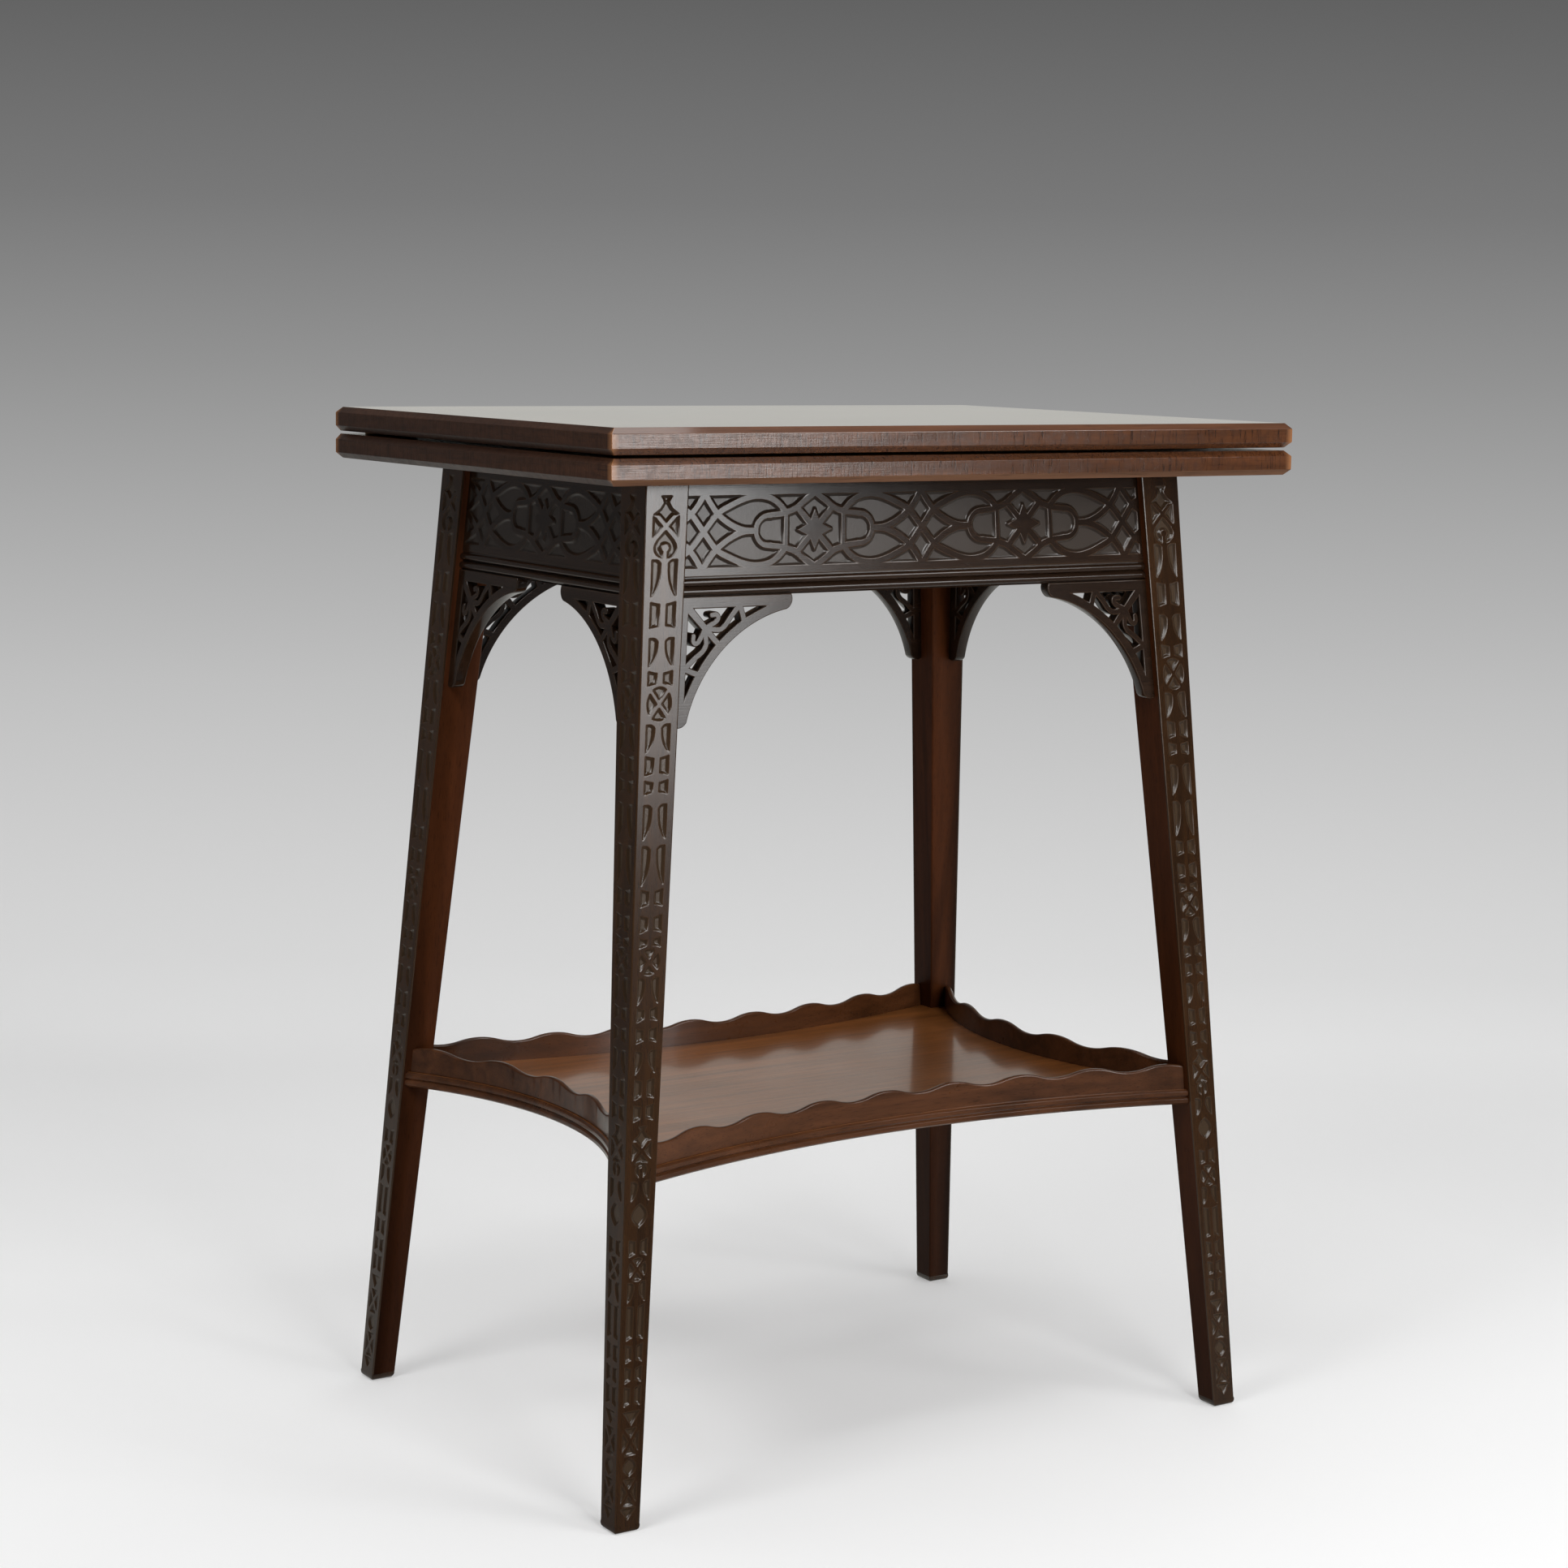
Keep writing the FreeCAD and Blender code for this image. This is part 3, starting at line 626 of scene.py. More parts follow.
class Wood:
    """Polished wood with its grain along an axis, to which wear is added."""

    def __init__(self, name, axis, dark, light, rough_low, rough_high):
        self.material, self.shader, place = new_material(name)
        self.place = place
        self.dark = dark
        figure = noise(stretched(place, axis, 2.5, 38), detail=5, rough=0.6, distort=0.9)
        ribbon = noise(stretched(place, axis, 7.0, 160), detail=4, rough=0.6)
        pores = noise(stretched(place, axis, 45, 1500), detail=2, rough=0.5)
        self.cloud = noise(place, 9.0, detail=3)
        self.fine = noise(place, 240, detail=3)
        tone = sum_of(figure, ribbon, 0.5)
        colour = mixed(spread(tone, 0.5, 1.0, 0, 1), dark, light)
        pore_share = spread(pores, 0.30, 0.42, 0.55, 0.0)
        self.colour = mixed(pore_share, colour, darker(dark, 0.35))
        dull = sum_of(self.cloud, self.fine, 0.35)
        self.roughness = spread(dull, 0.4, 0.95, rough_low, rough_high)
        self.height = sum_of(sum_of(pores, self.fine, 0.5), ribbon, 0.6)

    def crazed(self, strength):
        """Old polish with fine upright cracks and a mottled surface."""
        cracks = noise(stretched(self.place, 2, 40, 520), detail=4, rough=0.62, distort=1.0)
        mottle = noise(self.place, 170, detail=5, rough=0.7)
        crack_share = spread(cracks, 0.38, 0.46, strength, 0.0)
        colour = mixed(crack_share, self.colour, darker(self.dark, 0.25))
        self.colour = mixed(spread(mottle, 0.46, 0.62, 0.0, strength), colour, self.dark)
        dull = spread(mottle, 0.46, 0.64, 0.0, 0.06)
        self.roughness = sum_of(self.roughness, dull, 1.0)
        self.height = sum_of(sum_of(self.height, mottle, 1.2), cracks, 0.8)
        return self

    def carved(self, ground, worn, grime_and_shade):
        """Dusty ground, walls darkened by grime and painted shade, and rubbed edges, by the relief of
        each face.
        """
        relief = node(self.place, "Attribute", attribute_name="relief").outputs["Fac"]
        dusty = sum_of(relief, self.fine, 0.25)
        colour = mixed(spread(dusty, 0.2, 0.75, 1, 0), self.colour, ground)
        edge = band(relief, 0.35, 0.5, 0.5, 0.8)
        colour = mixed(product(edge, self.cloud), colour, worn)
        # Painted shade with grime: the carved walls are taken a fifth of the way to a near-black brown.
        wall = band(relief, 0.1, 0.2, 0.3, 0.45, most=0.2)
        self.colour = mixed(wall, colour, grime_and_shade)
        dull = spread(relief, 0.1, 0.5, 0.08, 0.0)
        self.roughness = sum_of(self.roughness, dull, 1.0)
        sunk = spread(relief, 0.0, 0.4, 1, 0)
        stipple = product(noise(self.place, 700, detail=2), sunk)
        self.height = sum_of(self.height, stipple, 3.0)
        return self

    def darkened_low(self, strength):
        """Colour that darkens towards the floor."""
        rise = node(self.place, "SeparateXYZ", {0: self.place}).outputs["Z"]
        low_share = spread(rise, 0.05, 0.45, strength, 0)
        self.colour = mixed(low_share, self.colour, darker(self.dark, 0.3))
        return self

    def rubbed(self, corner, worn):
        """Wood rubbed bare near a board's corners, given its half length and half width."""
        spot = node(self.place, "SeparateXYZ", {0: self.place}).outputs
        bare = spread(self.cloud, 0.3, 0.6, 0.6, 1)
        first, last = rubbed_corner
        for way, reach in zip("XY", corner):
            away = worked("ABSOLUTE", spot[way])
            near = spread(away, (reach - first) * MM, (reach - last) * MM, 0, 1)
            bare = product(bare, near)
        self.colour = mixed(bare, self.colour, worn)
        return self

    def finished(self, gloss, coat=0.0, coat_rough=0.06, texture=0.05):
        """The material, with its polish and the strength of its texture."""
        feed(self.shader, {
            "Base Color": self.colour, "Roughness": self.roughness,
            "Normal": bumped(self.height, texture, 0.0006),
            "Specular IOR Level": gloss, "Coat Weight": coat, "Coat Roughness": coat_rough,
        })
        return self.material


def metal(name, colour, tarnish, rough_low, rough_high):
    """Old metal with tarnish in clouds and fine scratches."""
    made, shader, place = new_material(name)
    cloud = noise(place, 90, 5, 0.65, 0.4)
    scratch = noise(stretched(place, 0, 150, 2200), detail=2)
    dull = sum_of(cloud, scratch, 0.4)
    feed(shader, {
        "Base Color": mixed(spread(cloud, 0.42, 0.62, 0, 1), colour, tarnish),
        "Roughness": spread(dull, 0.5, 0.9, rough_low, rough_high),
        "Normal": bumped(scratch, 0.15, 0.0003),
        "Metallic": 1.0,
    })
    return made


def cloth(name, dark, light):
    """Felted cloth with a short nap and faint wear."""
    made, shader, place = new_material(name)
    nap = noise(place, 1600, 3, 0.7)
    fibre = noise(stretched(place, 0, 350, 2600), detail=3, rough=0.6, distort=1.2)
    worn = noise(place, 7.0, detail=4)
    tone = sum_of(sum_of(nap, fibre, 0.6), worn, 0.5)
    feed(shader, {
        "Base Color": mixed(spread(tone, 0.75, 1.35, 0, 1), dark, light),
        "Roughness": 0.95,
        "Sheen Weight": 0.35,
        "Sheen Roughness": 0.5,
        "Normal": bumped(sum_of(nap, fibre, 0.8), 0.35, 0.0008),
    })
    return made


FRIEZE_TONES = ((0.0105, 0.0052, 0.0028), (0.0270, 0.0140, 0.0080), (0.0370, 0.0275, 0.0215))
LEG_TONES = ((0.014, 0.0055, 0.0015), (0.044, 0.0175, 0.0048), (0.047, 0.0275, 0.0140))
WORN = (0.044, 0.0220, 0.0100)
# Near-black brown for the carved walls, standing for grime and painted shade in the recesses.
WALL_GRIME_AND_SHADE = (0.0060, 0.0034, 0.0018)
BARE = (0.28, 0.120, 0.048)


def carved_wood(axis, dark, light, ground):
    """Dark wood of the frame, with the colour of its carved ground."""
    made = Wood("carved_mahogany_" + "xyz"[axis], axis, dark, light, 0.12, 0.20)
    return made.carved(ground, WORN, WALL_GRIME_AND_SHADE).finished(gloss=0.42, texture=0.035)


CARVED = [carved_wood(axis, *tones) for axis, tones in enumerate((FRIEZE_TONES, FRIEZE_TONES, LEG_TONES))]
TOP_WOOD = Wood(
    "top_mahogany", 0, (0.045, 0.017, 0.008), (0.150, 0.058, 0.026), 0.30, 0.42
).finished(gloss=0.25, coat=1.0, texture=0.03)
EDGE_WOOD = Wood(
    "top_edge_mahogany", 0, (0.048, 0.016, 0.005), (0.125, 0.043, 0.015), 0.14, 0.24
).crazed(0.7).rubbed(leaf_corner, BARE).finished(gloss=0.55, texture=0.13)
END_WOOD = Wood(
    "top_end_mahogany", 1, (0.024, 0.0092, 0.0042), (0.064, 0.0245, 0.0110), 0.28, 0.40
).crazed(0.5).rubbed(leaf_corner, BARE).finished(gloss=0.35, texture=0.2)
WORN_WOOD = Wood(
    "worn_mahogany", 2, (0.20, 0.075, 0.022), (0.36, 0.15, 0.05), 0.3, 0.45
).finished(gloss=0.4)
PLAIN_WOOD = Wood(
    "leg_inner_mahogany", 2, (0.042, 0.0118, 0.0032), (0.095, 0.0270, 0.0076), 0.42, 0.58
).darkened_low(0.65).finished(gloss=0.08)
SHELF_WOOD = Wood(
    "shelf_mahogany", 0, (0.13, 0.046, 0.011), (0.32, 0.112, 0.028), 0.28, 0.40
).finished(gloss=0.25, coat=0.55, coat_rough=0.11)
GALLERY_WOOD = Wood(
    "gallery_mahogany", 0, (0.034, 0.0120, 0.0042), (0.105, 0.0370, 0.0130), 0.24, 0.36
).finished(gloss=0.22, coat=0.4, coat_rough=0.10, texture=0.06)
RAW_WOOD = Wood(
    "raw_mahogany", 0, (0.075, 0.033, 0.016), (0.16, 0.075, 0.038), 0.60, 0.80
).finished(gloss=0.2)
INNER_WOOD = Wood(
    "secondary_wood", 0, (0.10, 0.055, 0.030), (0.21, 0.125, 0.070), 0.60, 0.80
).finished(gloss=0.3)
BRASS = metal("hinge_brass", (0.55, 0.36, 0.14), (0.16, 0.10, 0.05), 0.28, 0.55)
IRON = metal("pivot_iron", (0.16, 0.15, 0.145), (0.07, 0.05, 0.04), 0.45, 0.75)
BAIZE = cloth("baize", (0.010, 0.040, 0.021), (0.030, 0.100, 0.052))


def show_carving(name, sculpt, node_name, axis, plain=None):
    """A carved piece of the frame, its grain along an axis."""
    show_sculpt(name, sculpt, "frame", [node_name], CARVED[axis], plain)


# Legs: a tapered core with a carved plate on each outer face


def leg_drawing():
    """Carved face of a leg: across is 0 at the middle, height is the table's own."""
    half = leg_width / 2
    field_half = half - leg_margin
    xs, ys, (x, z) = drawing_grid(-half, half, foot_plain, frame_top)
    side = np.abs(x)

    def between(top, bottom):
        return np.minimum(top - z, z - bottom)

    def pair(top, bottom):
        """Two upright pockets beside a stem, their ends hollowed by a bowed bar."""
        bow = pair_bow * (1 - (side / field_half) ** 2)
        return least(side - pair_stem, field_half - side, between(top - bow, bottom + bow))

    def flare(top, bottom):
        """Two pockets beside a husk that opens out downwards."""
        share = np.clip((top - z) / (top - bottom), 0, 1)
        husk = flare_stem + (field_half - flare_stem) * share ** flare_curve
        drop, reach = flare_shoulder
        shoulder = drop * np.clip(1 - (side - flare_stem) / reach, 0, 1) ** 2
        return least(side - husk, field_half - side, between(top - shoulder, bottom))

    def cross(top, bottom, arm=cross_arm):
        """Four pockets between the arms of a cross."""
        rise = (top - bottom) / 2
        away = np.abs(side * rise - np.abs(z - (top + bottom) / 2) * field_half)
        arms = away / math.hypot(rise, field_half) - arm / 2
        return least(arms, field_half - side, between(top, bottom))

    def roundel(top, bottom):
        """Cross within a round frame."""
        rise = (top - bottom) / 2
        turn = np.hypot(side / field_half, (z - (top + bottom) / 2) / rise)
        return least(cross(top + 1, bottom - 1, roundel_arm), (1 - turn) * min(rise, field_half))

    def spade(top, bottom):
        """Pocket with a small cap, a thin neck and a body as wide as the field."""
        share = np.clip((top - z) / (top - bottom), 0, 1)
        body = np.interp(share, (0, 0.15, 0.35, 0.7, 1), (3.2, 2.0, 1.2, 3.4, field_half))
        return least(body - side, between(top, bottom))

    def horseshoe(top, bottom):
        """Round pocket with a raised bud in it, open to the bud's stem."""
        reach = (top - bottom) / 2
        middle = (top + bottom) / 2
        away = np.hypot(x, z - middle)
        past_stem = np.maximum(side - bud_half_stem, z - middle)
        return least(reach - away, away - reach * bud_share, past_stem)

    def leaf(top, bottom):
        """One pointed pocket in the middle."""
        share = (z - (top + bottom) / 2) / ((top - bottom) / 2)
        return least((field_half - leaf_inset) * (1 - share ** 2) - side, between(top, bottom))

    def wedge(top, bottom):
        """Three-cornered pocket, point down."""
        slope = field_half * (z - bottom) / (top - bottom) - side
        return least(slope, between(top, bottom)) * wedge_slope

    ornament = [
        (spade, 683, 671), (cross, 673, 653.5), (horseshoe, 656, 642.5), (flare, 641.5, 617.5),
        (pair, 614, 597), (flare, 590.5, 572), (pair, 569, 559.5), (roundel, 558.5, 536.5),
        (flare, 534, 516), (pair, 513.5, 501), (pair, 497.5, 488.5), (flare, 481.5, 459),
        (flare, 454.5, 429), (pair, 426, 415), (pair, 409, 398), (pair, 394.5, 388),
        (roundel, 387, 370), (flare, 368, 351), (pair, 348.5, 339.5), (pair, 335, 325.5),
        (flare, 320, 305), (pair, 301.5, 288.5), (pair, 284.5, 274), (spade, 270, 261),
        (cross, 262, 246), (horseshoe, 246, 236.5), (flare, 234, 221), (leaf, 219, 203.5),
        (pair, 195.5, 184.5), (roundel, 183, 168), (flare, 167, 154), (pair, 152, 129),
        (pair, 126, 114), (pair, 111, 100.5), (pair, 98, 85), (wedge, 81, 72),
        (cross, 70, 52), (leaf, 50, 38), (cross, 36, 18), (wedge, 16.5, 9),
    ]
    sunk = np.full(x.shape, -np.inf)
    for motif, top, bottom in ornament:
        sunk = np.maximum(sunk, motif(top, bottom))
    board = inside_box((x, z), -half, half, foot_plain - carve_overrun, frame_top + carve_overrun)
    wood_field = true_distance(np.minimum(-sunk, board), xs, ys)
    return carved_face(wood_field, xs, ys, carve_profile)[0]


def leg_core():
    """The leg within its carved faces, with a rounded toe and an eased inner corner."""
    rings = []
    for z in foot_steps + (foot_round, foot_plain):
        short = max(foot_round - z, 0)
        inset = foot_round - math.sqrt(foot_round ** 2 - short ** 2)
        rings.append((z, inset, inset))
    rings += [(foot_plain, carve_depth, 0.0), (frame_top, carve_depth, 0.0)]
    points, relief = [], []
    for z, outside, inside in rings:
        x_out, x_in = LEG_X.outer(z) - outside, LEG_X.inner(z) + inside
        y_out, y_in = LEG_Y.outer(z) - outside, LEG_Y.inner(z) + inside
        points += [
            (x_in + leg_inner_ease, y_in, z), (x_out, y_in, z), (x_out, y_out, z),
            (x_in, y_out, z), (x_in, y_in + leg_inner_ease, z),
        ]
    count = 5
    for ring in rings[1:]:
        relief += (PLAIN, SUNK, SUNK, PLAIN, PLAIN) if ring[0] > foot_plain else (MOULDED,) * count
    relief += (MOULDED, MOULDED)
    return Sculpt(points, ring_faces(len(rings), count), relief)


def leg_sculpt():
    """Leg at the corner where x and y are positive, with both carved faces."""
    half = leg_width / 2
    plate = leg_drawing()
    plate = plate.without(lambda points: points[:, 0] > half - leg_arris)
    plate = plate.without(lambda points: points[:, 1] <= foot_plain)
    plate = plate.without(lambda points: points[:, 1] >= frame_top)

    def on_face(points, across_line, depth_line):
        """Places across a face, out to it and up it."""
        x, z, height = points.T
        z = np.clip(z, foot_plain, frame_top)
        sunk = carve_depth - height
        share = (np.maximum(x, -half) + half) / leg_width
        across = across_line.inner(z) + (across_line.outer(z) - across_line.inner(z)) * share
        across = np.minimum(across, across_line.outer(z) - sunk)
        return np.column_stack([across, depth_line.outer(z) - sunk, z])

    sculpt = plate.mapped(lambda points: on_face(points, LEG_X, LEG_Y), flip=True)
    sculpt.join(plate.mapped(lambda points: on_face(points, LEG_Y, LEG_X), flip=True).turned())
    return sculpt.join(leg_core())


CORNERS = {
    "front_left": (-1, -1), "front_right": (1, -1), "back_left": (-1, 1), "back_right": (1, 1),
}
leg_shape = leg_sculpt()
for corner, signs in CORNERS.items():
    show_carving("carved_leg_" + corner, leg_shape.mirrored(*signs), "leg_" + corner, 2, PLAIN_WOOD)

# Rails: a moulded core with two beads, and the fret plate on its sunk face


def fret_drawing(half_run, first_star):
    """Frieze fret over one rail; stars stand a whole period apart, from the first."""
    face_low = rail_bottom + bead_band
    xs, ys, (x, z) = drawing_grid(-half_run, half_run, face_low, frame_top)
    period = 2 * fret_half_period
    away = np.abs((x - first_star + fret_half_period) % period - fret_half_period)
    quarter = (away, np.abs(z - fret_middle))
    knot = (23.2, 11.8)
    lobe = (36.9, 0)
    ring = 10.1
    meeting = (77.6, 11.8)
    crossing = (fret_half_period, 0)
    over = fret_half_height + 2
    lobe_to_edge = [(lobe[0] + ring, 0), (56, 0.4), (64, 3.0), (71, 6.8), meeting, (83, 18), (88, over)]
    knot_to_crossing = [
        knot, (29, 17.6), (36, 21.6), (46, 23.2), (56, 21.6), (67, 17.4), meeting, crossing,
    ]
    pieces = [
        strap(quarter, [(knot[0], 0), knot], fret_post),
        strap(quarter, flowing([knot, (15.3, 14.5), (9.5, 18.8), (-1, over)]), fret_strap),
        strap(quarter, [(0, 0), (14.5, 15.2)], fret_strap),
        strap(quarter, [(0, 0), (star_reach, 0)], star_base, star_tip),
        strap(quarter, [(0, 0), (0, star_reach)], star_base, star_tip),
        strap(quarter, [(knot[0], 11.4), (lobe[0], ring)], fret_ring),
        strap(quarter, ring_line(lobe, ring, -40, 100), fret_ring),
        strap(quarter, flowing(lobe_to_edge), fret_strap),
        strap(quarter, flowing(knot_to_crossing), fret_strap),
        quarter[1] - fret_half_height,
        np.abs(x) - (half_run - fret_end),
    ]
    field = np.maximum.reduce(pieces)
    run = half_run + carve_overrun
    field = np.minimum(field, inside_box((x, z), -run, run, face_low, frame_top + carve_overrun))
    return carved_face(field, xs, ys, carve_profile)[0]


def rail_profile():
    """Depth behind the rail's face, and height, from the back over the top to the foot."""
    face_low = rail_bottom + bead_band
    line = [
        (rail_thick, frame_top), (carve_depth, frame_top), (carve_depth, face_low), (face_lip, face_low),
    ]
    for number in (1, 0):
        centre = rail_bottom + bead_low + number * bead_pitch
        for angle in bead_angles:
            turn = math.radians(angle)
            depth = bead_seat - bead_radius * math.cos(turn)
            line.append((depth, centre + bead_radius * math.sin(turn)))
        line.append((quirk_depth, centre - bead_radius - quirk_gap))
    line += [(bead_seat, rail_bottom), (rail_thick, rail_bottom)]
    return line


def rail_sculpt(run_line, depth_line, first_star):
    """Rail along x at the side where y is positive."""
    middle = (rail_bottom + frame_top) / 2
    half_run = run_line.inner(middle)
    plate = fret_drawing(half_run, first_star)
    plate = plate.without(lambda points: points[:, 1] >= frame_top)

    def place(points):
        along, z, height = points.T
        z = np.clip(z, rail_bottom + bead_band, frame_top)
        run = along / half_run * (run_line.inner(z) + fret_end_overlap)
        depth = depth_line.outer(z) - rail_setback - carve_depth + height
        return np.column_stack([run, depth, z])

    sculpt = plate.mapped(place, flip=True)
    profile = rail_profile()
    points = []
    for sign in (-1, 1):
        for depth, z in profile:
            run = sign * (run_line.inner(z) + rail_end_overlap)
            points.append((run, depth_line.outer(z) - rail_setback - depth, z))
    faces = ring_faces(2, len(profile))
    relief = [MOULDED] * len(faces)
    relief[1] = SUNK
    return sculpt.add(points, faces, relief)


long_rail = rail_sculpt(LEG_X, LEG_Y, fret_half_period)
short_rail = rail_sculpt(LEG_Y, LEG_X, 0.0).turned()
for name, shape, signs, axis in (
    ("front_rail", long_rail, (1, -1), 0), ("back_rail", long_rail, (1, 1), 0),
    ("left_rail", short_rail, (-1, 1), 1), ("right_rail", short_rail, (1, 1), 1),
):
    show_carving("carved_" + name, shape.mirrored(*signs), name, axis)

# Brackets: fretted right through, alike about the diagonal


def circle_through(a, b, c):
    """Centre and radius of the circle through three points."""
    rows = [(p[0] - a[0], p[1] - a[1]) for p in (b, c)]
    known = [(p[0] ** 2 + p[1] ** 2 - a[0] ** 2 - a[1] ** 2) / 2 for p in (b, c)]
    centre = np.linalg.solve(rows, known)
    return centre, math.dist(centre, a)


def bracket_drawing():
    """Reach from the leg across and drop below the rail upwards."""
    extent = (-bracket_overlap, bracket_length, -bracket_overlap, bracket_drop)
    xs, ys, (x, y) = drawing_grid(*extent)
    centre, radius = circle_through(*bracket_arch)
    rim = np.hypot(x - centre[0], y - centre[1]) - radius

    def rounded_end(end, inward):
        """Field that ends in a round, given its centre and radius."""
        (end_x, end_y), end_radius = end
        return np.maximum(inward, end_radius - np.hypot(x - end_x, y - end_y))

    nose = rounded_end(bracket_nose, bracket_nose[0][0] - x)
    toe = rounded_end(bracket_toe, bracket_toe[0][1] - y)
    blank = least(inside_box((x, y), *extent), rim, nose, toe)
    strands = [
        strap((x, y), diagonal_line, diagonal_width, diagonal_end),
        bracket_band - y,
        bracket_stile - x,
        bracket_rim - rim,
    ]
    for grid in ((x, y), (y, x)):
        strands += [
            strap(grid, flowing(branch_line), branch_width),
            strap(grid, flowing(bud_line), bud_width),
            strap(grid, post_line, post_width),
        ]
    field = np.minimum(np.maximum.reduce(strands), blank)
    front, feet = carved_face(field, xs, ys, bracket_profile)
    back = front.mapped(lambda points: points * (1, 1, -1) + (0, 0, bracket_thick), flip=True)
    sculpt = front.join(back)
    edge = bracket_profile[0][1]
    for loop in feet:
        points = [(px, py, z) for z in (bracket_thick - edge, edge) for px, py in loop]
        sculpt.add(points, ring_faces(2, len(loop), closed=False), MOULDED)
    return sculpt


def bracket_sculpt(drawn, run_line, depth_line):
    """Bracket under a rail along x, at the corner where x and y are positive."""
    def place(points):
        reach, drop, height = points.T
        z = rail_bottom - drop
        depth = depth_line.outer(z) - bracket_setback - bracket_thick + height
        return np.column_stack([run_line.inner(z) - reach, depth, z])

    return drawn.mapped(place, flip=True)


bracket_shape = bracket_drawing()
long_bracket = bracket_sculpt(bracket_shape, LEG_X, LEG_Y)
short_bracket = bracket_sculpt(bracket_shape, LEG_Y, LEG_X).turned()
for corner, signs in CORNERS.items():
    for name, shape, axis in (("bracket_", long_bracket, 0), ("side_bracket_", short_bracket, 1)):
        show_carving(f"fretted_{name}{corner}", shape.mirrored(*signs), name + corner, axis)

# Shelf, gallery and the wood inside the frame: eased copies of the solids

board = softened("shelf", "frame", SHELF_WOOD, shelf_ease).data
board.materials.append(GALLERY_WOOD)
for face in board.polygons:
    face.material_index = 0 if face.normal.z > upward_cosine else 1
for side in ("front", "back", "left", "right"):
    softened("gallery_" + side, "frame", GALLERY_WOOD, gallery_ease, segments=3)
for name in ("pivot_rail", "well_board", "well_cleats"):
    softened(name, "frame", INNER_WOOD, inner_ease)
for name in ("swivel_stop_peg", "shelf_dowels"):
    coloured(NODES[name].data, INNER_WOOD)

# Leaves, with their edges rubbed round

LEAVES = (("lower", "fixed_leaf", True), ("upper", "folding_leaf", False))
LEAF_WOODS = (TOP_WOOD, EDGE_WOOD, WORN_WOOD, RAW_WOOD, END_WOOD)


def leaf_wood(normal, up):
    """Wood that a face of a leaf shows; up tells where the playing face is."""
    x, y, z = normal
    if abs(x) > side_tilt:
        return WORN_WOOD if abs(y) > side_tilt else END_WOOD
    if (z if up else -z) > -side_tilt:
        return EDGE_WOOD
    return RAW_WOOD if up else TOP_WOOD


for leaf, body, up in LEAVES:
    board = softened(leaf + "_leaf", body, TOP_WOOD, leaf_ease, segments=3).data
    for material in LEAF_WOODS[1:]:
        board.materials.append(material)
    for face in board.polygons:
        face.material_index = LEAF_WOODS.index(leaf_wood(face.normal, up))

# Baize, a thin felted sheet in each leaf


def baize_sheet(leaf, body, up):
    """Cloth on its bed in the leaf, a little uneven and eased at the edge."""
    low, high = corners_mm(leaf + "_baize")
    way = 1 if up else -1
    bed = low[2] if up else high[2]
    face = bed + way * baize_thick
    count = (baize_rows + 1) * (baize_columns + 1)
    ids = np.arange(count).reshape(baize_rows + 1, baize_columns + 1)

    def layer(z, inset, wave):
        xs = np.linspace(low[0] + inset, high[0] - inset, baize_columns + 1)
        ys = np.linspace(low[1] + inset, high[1] - inset, baize_rows + 1)
        x, y = np.meshgrid(xs, ys)
        height = z + way * wave * np.sin(x * baize_wave_x) * np.sin(y * baize_wave_y + 1.0)
        return np.column_stack([x.ravel(), y.ravel(), height.ravel()])

    quads = np.stack([ids[:-1, :-1], ids[:-1, 1:], ids[1:, 1:], ids[1:, :-1]], axis=-1).reshape(-1, 4)
    sculpt = Sculpt(layer(face, baize_ease, baize_wave), quads[:, ::way].tolist(), MOULDED)
    sculpt.add(layer(bed, 0.0, 0.0), quads[:, ::-way].tolist(), MOULDED)
    rim = np.concatenate([ids[0, :-1], ids[:-1, -1], ids[-1, :0:-1], ids[:0:-1, 0]])
    after = np.roll(rim, -1)
    sides = np.column_stack([count + rim, count + after, after, rim])
    sculpt.faces += sides[:, ::way].tolist()
    sculpt.relief += [MOULDED] * len(sides)
    piece = show_sculpt(leaf + "_baize_cloth", sculpt, body, [leaf + "_baize"], BAIZE)


for leaf, body, up in LEAVES:
    baize_sheet(leaf, body, up)

# Hinges and pivot

for leaf, body, _ in LEAVES:
    for hand in ("left", "right"):
        softened(f"{leaf}_hinge_plate_{hand}", body, BRASS, plate_ease)


def slotted_screws(leaf, body, up):
    """Countersunk screws with a slot across each head."""
    points = points_mm(leaf + "_hinge_screws")
    way = 1 if up else -1
    face = (points[:, 2] * way).max()
    length = face - (points[:, 2] * way).min()
    rims = points[points[:, 2] * way > face - same_level]
    sculpt = Sculpt()
    count = screw_sides
    turns = np.arange(count) * 2 * math.pi / count
    done = 0
    while len(rims):
        here = np.hypot(*(rims[:, :2] - rims[0, :2]).T) < screw_near
        low, high = rims[here, :2].min(axis=0), rims[here, :2].max(axis=0)
        rims = rims[~here]
        centre = (low + high) / 2
        radius = (high - low).max() / 2
        spin = slot_first_turn + slot_turn_step * done
        done += 1
        across = np.minimum(
            slot_length / 2 / np.maximum(np.abs(np.cos(turns)), tiny),
            slot_width / 2 / np.maximum(np.abs(np.sin(turns)), tiny),
        )
        rings = [(across, slot_depth), (across, 0.0), (radius - screw_rim, 0.0), (radius, screw_rim)]
        rings += [(screw_shank, screw_cone), (screw_shank, length - screw_point), (screw_tip, length)]
        heads = []
        for reach, drop in rings:
            height = np.full(count, way * (face - drop))
            x, y = centre[0] + reach * np.cos(turns + spin), centre[1] + reach * np.sin(turns + spin)
            heads.append(np.column_stack([x, y, height]))
        faces = [ring[::-way] for ring in ring_faces(len(rings), count)]
        sculpt.add(np.vstack(heads), faces, MOULDED)
    show_sculpt(leaf + "_slotted_screws", sculpt, body, [leaf + "_hinge_screws"], BRASS)


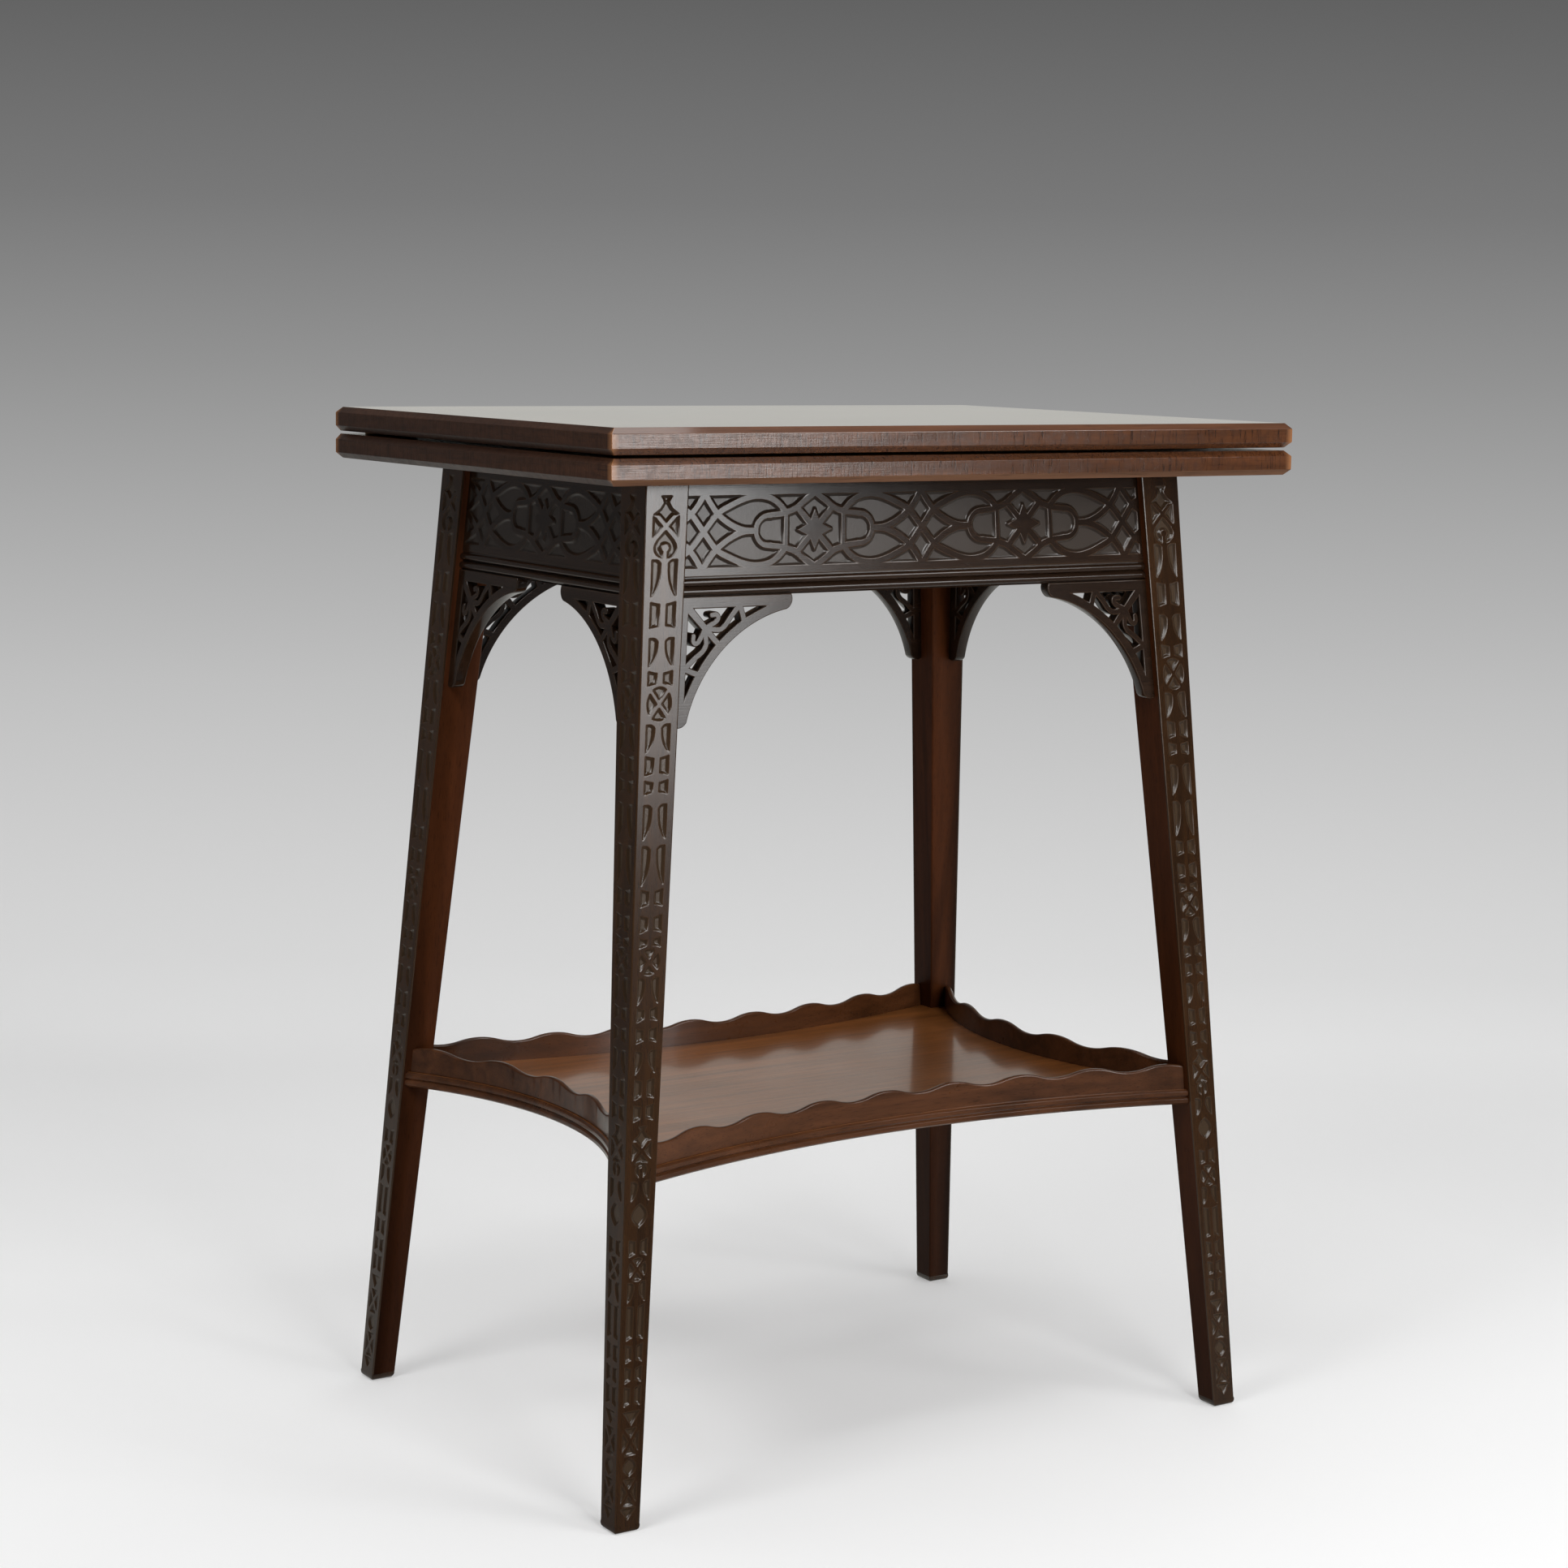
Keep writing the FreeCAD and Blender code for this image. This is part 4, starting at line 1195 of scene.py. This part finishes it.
for leaf, body, up in LEAVES:
    slotted_screws(leaf, body, up)
for name in ("hinge_pin_left", "hinge_pin_right"):
    coloured(NODES[name].data, BRASS)
for name in ("plate", "screws", "spindle", "washer", "nut"):
    coloured(NODES["pivot_" + name].data, IRON)

# Camera at the photograph's viewpoint

yaw, pitch, roll = 0.5737, -0.1426, 0.016
level = math.cos(pitch)
forward = Vector((math.sin(yaw) * level, math.cos(yaw) * level, math.sin(pitch)))
right = Vector((math.cos(yaw), -math.sin(yaw), 0))
up = right.cross(forward)
camera_right = right * math.cos(roll) + up * math.sin(roll)
camera_up = up * math.cos(roll) - right * math.sin(roll)
camera_data = bpy.data.cameras.new("camera")
camera_data.lens = 75.92
camera_data.sensor_width = 36.0
camera = placed("camera", camera_data)
camera.matrix_world = Matrix((camera_right, camera_up, -forward)).transposed().to_4x4()
camera.location = (-1.31634, -2.00927, 0.80519)
bpy.context.scene.camera = camera

# Floor that sweeps up into a backdrop

sweep_front = -6.0
sweep_start = 1.6
sweep_radius = 1.2
sweep_height = 4.0
sweep_half = 7.0
sweep_steps = 36
BACKDROP_SHADES = (
    (0.0, 1.0), (1.2, 0.92), (1.6, 0.78), (2.03, 0.644), (2.41, 0.521), (2.71, 0.402), (2.99, 0.283),
    (3.25, 0.188), (3.6, 0.115),
)
FLOOR_COLOUR = (0.92, 0.92, 0.92)
FLOOR_BLOTCH = (0.8, 0.8, 0.8)
MIRRORED_DARK = (0.12, 0.12, 0.12)
MIRRORED_PALE = (0.53, 0.53, 0.50)
floor_glow = 0.3
glow_start, glow_end = sweep_start - 0.6, sweep_start + 0.8


def shades(run):
    """Greys of the backdrop along its run."""
    first, last = BACKDROP_SHADES[0][0], BACKDROP_SHADES[-1][0]
    ramp = node(run, "ValToRGB", {0: spread(run, first, last, 0, 1)})
    stops = ramp.color_ramp.elements
    while len(stops) < len(BACKDROP_SHADES):
        stops.new(0.5)
    for stop, (at, grey) in zip(stops, BACKDROP_SHADES):
        stop.position = (at - first) / (last - first)
        stop.color = (grey, grey, grey, 1)
    return ramp.outputs["Color"]


def backdrop_material():
    """Pale floor with shadows, a wall of even greys, and a dark room with a pale side for reflections."""
    made, shader, place = new_material("backdrop")
    run = node(place, "Attribute", attribute_name="run").outputs["Fac"]
    blotch = spread(noise(place, 3.0, detail=2), 0.3, 0.7, 0, 0.06)
    feed(shader, {
        "Base Color": mixed(blotch, FLOOR_COLOUR, FLOOR_BLOTCH),
        "Roughness": 0.8, "Specular IOR Level": 0.1,
    })
    path = node(place, "LightPath").outputs
    mirror_ray = worked("MAXIMUM", path["Is Glossy Ray"], path["Is Transmission Ray"])
    seen = worked("MAXIMUM", path["Is Camera Ray"], mirror_ray)
    lift = spread(run, glow_start, glow_end, floor_glow, 1.0)
    share = product(seen, worked("MAXIMUM", mirror_ray, lift))
    spot = node(place, "SeparateXYZ", {0: place}).outputs
    pale = spread(spot["X"], -1.8, -0.6, 0, 1)
    pale = product(pale, spread(spot["Z"], 1.1, 2.2, 1, 0))
    pale = product(pale, spread(spot["Y"], -0.4, 0.3, 0, 1))
    mirrored = mixed(pale, MIRRORED_DARK, MIRRORED_PALE)
    glow = node(place, "Emission", {"Color": mixed(mirror_ray, shades(run), mirrored)})
    joined = node(place, "MixShader", {0: share, 1: shader.outputs[0], 2: glow.outputs[0]})
    feed(made.node_tree.nodes["Material Output"], {"Surface": joined.outputs[0]})
    return made


def backdrop():
    """Floor and wall in one sweep, turned to face the camera; run is the way along it."""
    line = [(sweep_front, 0.0, sweep_front)]
    for turn in np.linspace(0, math.pi / 2, sweep_steps + 1):
        out, rise = sweep_radius * math.sin(turn), sweep_radius * (1 - math.cos(turn))
        line.append((sweep_start + out, rise, sweep_start + sweep_radius * turn))
    line.append((line[-1][0], sweep_height, line[-1][2] + sweep_height - sweep_radius))
    points = [(across, out, z) for out, z, _ in line for across in (-sweep_half, sweep_half)]
    faces = [[2 * i, 2 * i + 1, 2 * i + 3, 2 * i + 2] for i in range(len(line) - 1)]
    mesh = bpy.data.meshes.new("backdrop")
    mesh.from_pydata(points, [], faces)
    mesh.shade_smooth()
    layer = mesh.attributes.new("run", "FLOAT", "POINT")
    layer.data.foreach_set("value", [run for _, _, run in line for _ in range(2)])
    mesh.materials.append(backdrop_material())
    piece = placed("backdrop", mesh)
    piece.rotation_euler.z = -yaw


backdrop()

# Soft studio light


def panel(name, place, target, width, height, power, fade=None):
    """Lamp that looks at a target; a fade gives its strength from its lower to its upper edge."""
    light = bpy.data.lights.new(name, "AREA")
    light.shape = "RECTANGLE"
    light.size = width
    light.size_y = height
    light.energy = power
    lamp = placed(name, light)
    lamp.location = place
    way = Vector(target) - Vector(place)
    lamp.rotation_euler = way.to_track_quat("-Z", "Y").to_euler()
    if fade is not None:
        light.use_nodes = True
        tree = light.node_tree
        spot = node(tree, "NewGeometry").outputs["Parametric"]
        rise = node(tree, "SeparateXYZ", {0: spot}).outputs["Y"]
        feed(tree.nodes["Emission"], {"Strength": spread(rise, *fade)})


panel("glare_panel", (0.825, -2.15, 0.65), (0, 0, 0.65), 0.55, 1.1, 19, (0.2, 0.6, 0.02, 1.0))
panel("key_panel", (-0.2, -2.15, 1.65), (0, 0, 0.5), 0.8, 1.3, 26)
panel("right_panel", (1.5, -2.15, 1.75), (0, 0, 0.5), 0.7, 0.8, 14)
panel("left_panel", (-1.6, -0.4, 2.2), (0, 0, 0.4), 0.7, 0.7, 17)
panel("overhead", (0.0, 0.1, 2.9), (0, 0, 0.4), 2.2, 1.8, 32)

world_light, world_seen = 0.08, 0.42
world = bpy.data.worlds.new("studio")
bpy.context.scene.world = world
world.use_nodes = True
tree = world.node_tree
seen = node(tree, "LightPath").outputs["Is Camera Ray"]
feed(tree.nodes["Background"], {
    "Color": (1, 1, 1), "Strength": spread(seen, 0, 1, world_light, world_seen),
})

bpy.context.scene.view_settings.view_transform = "Standard"
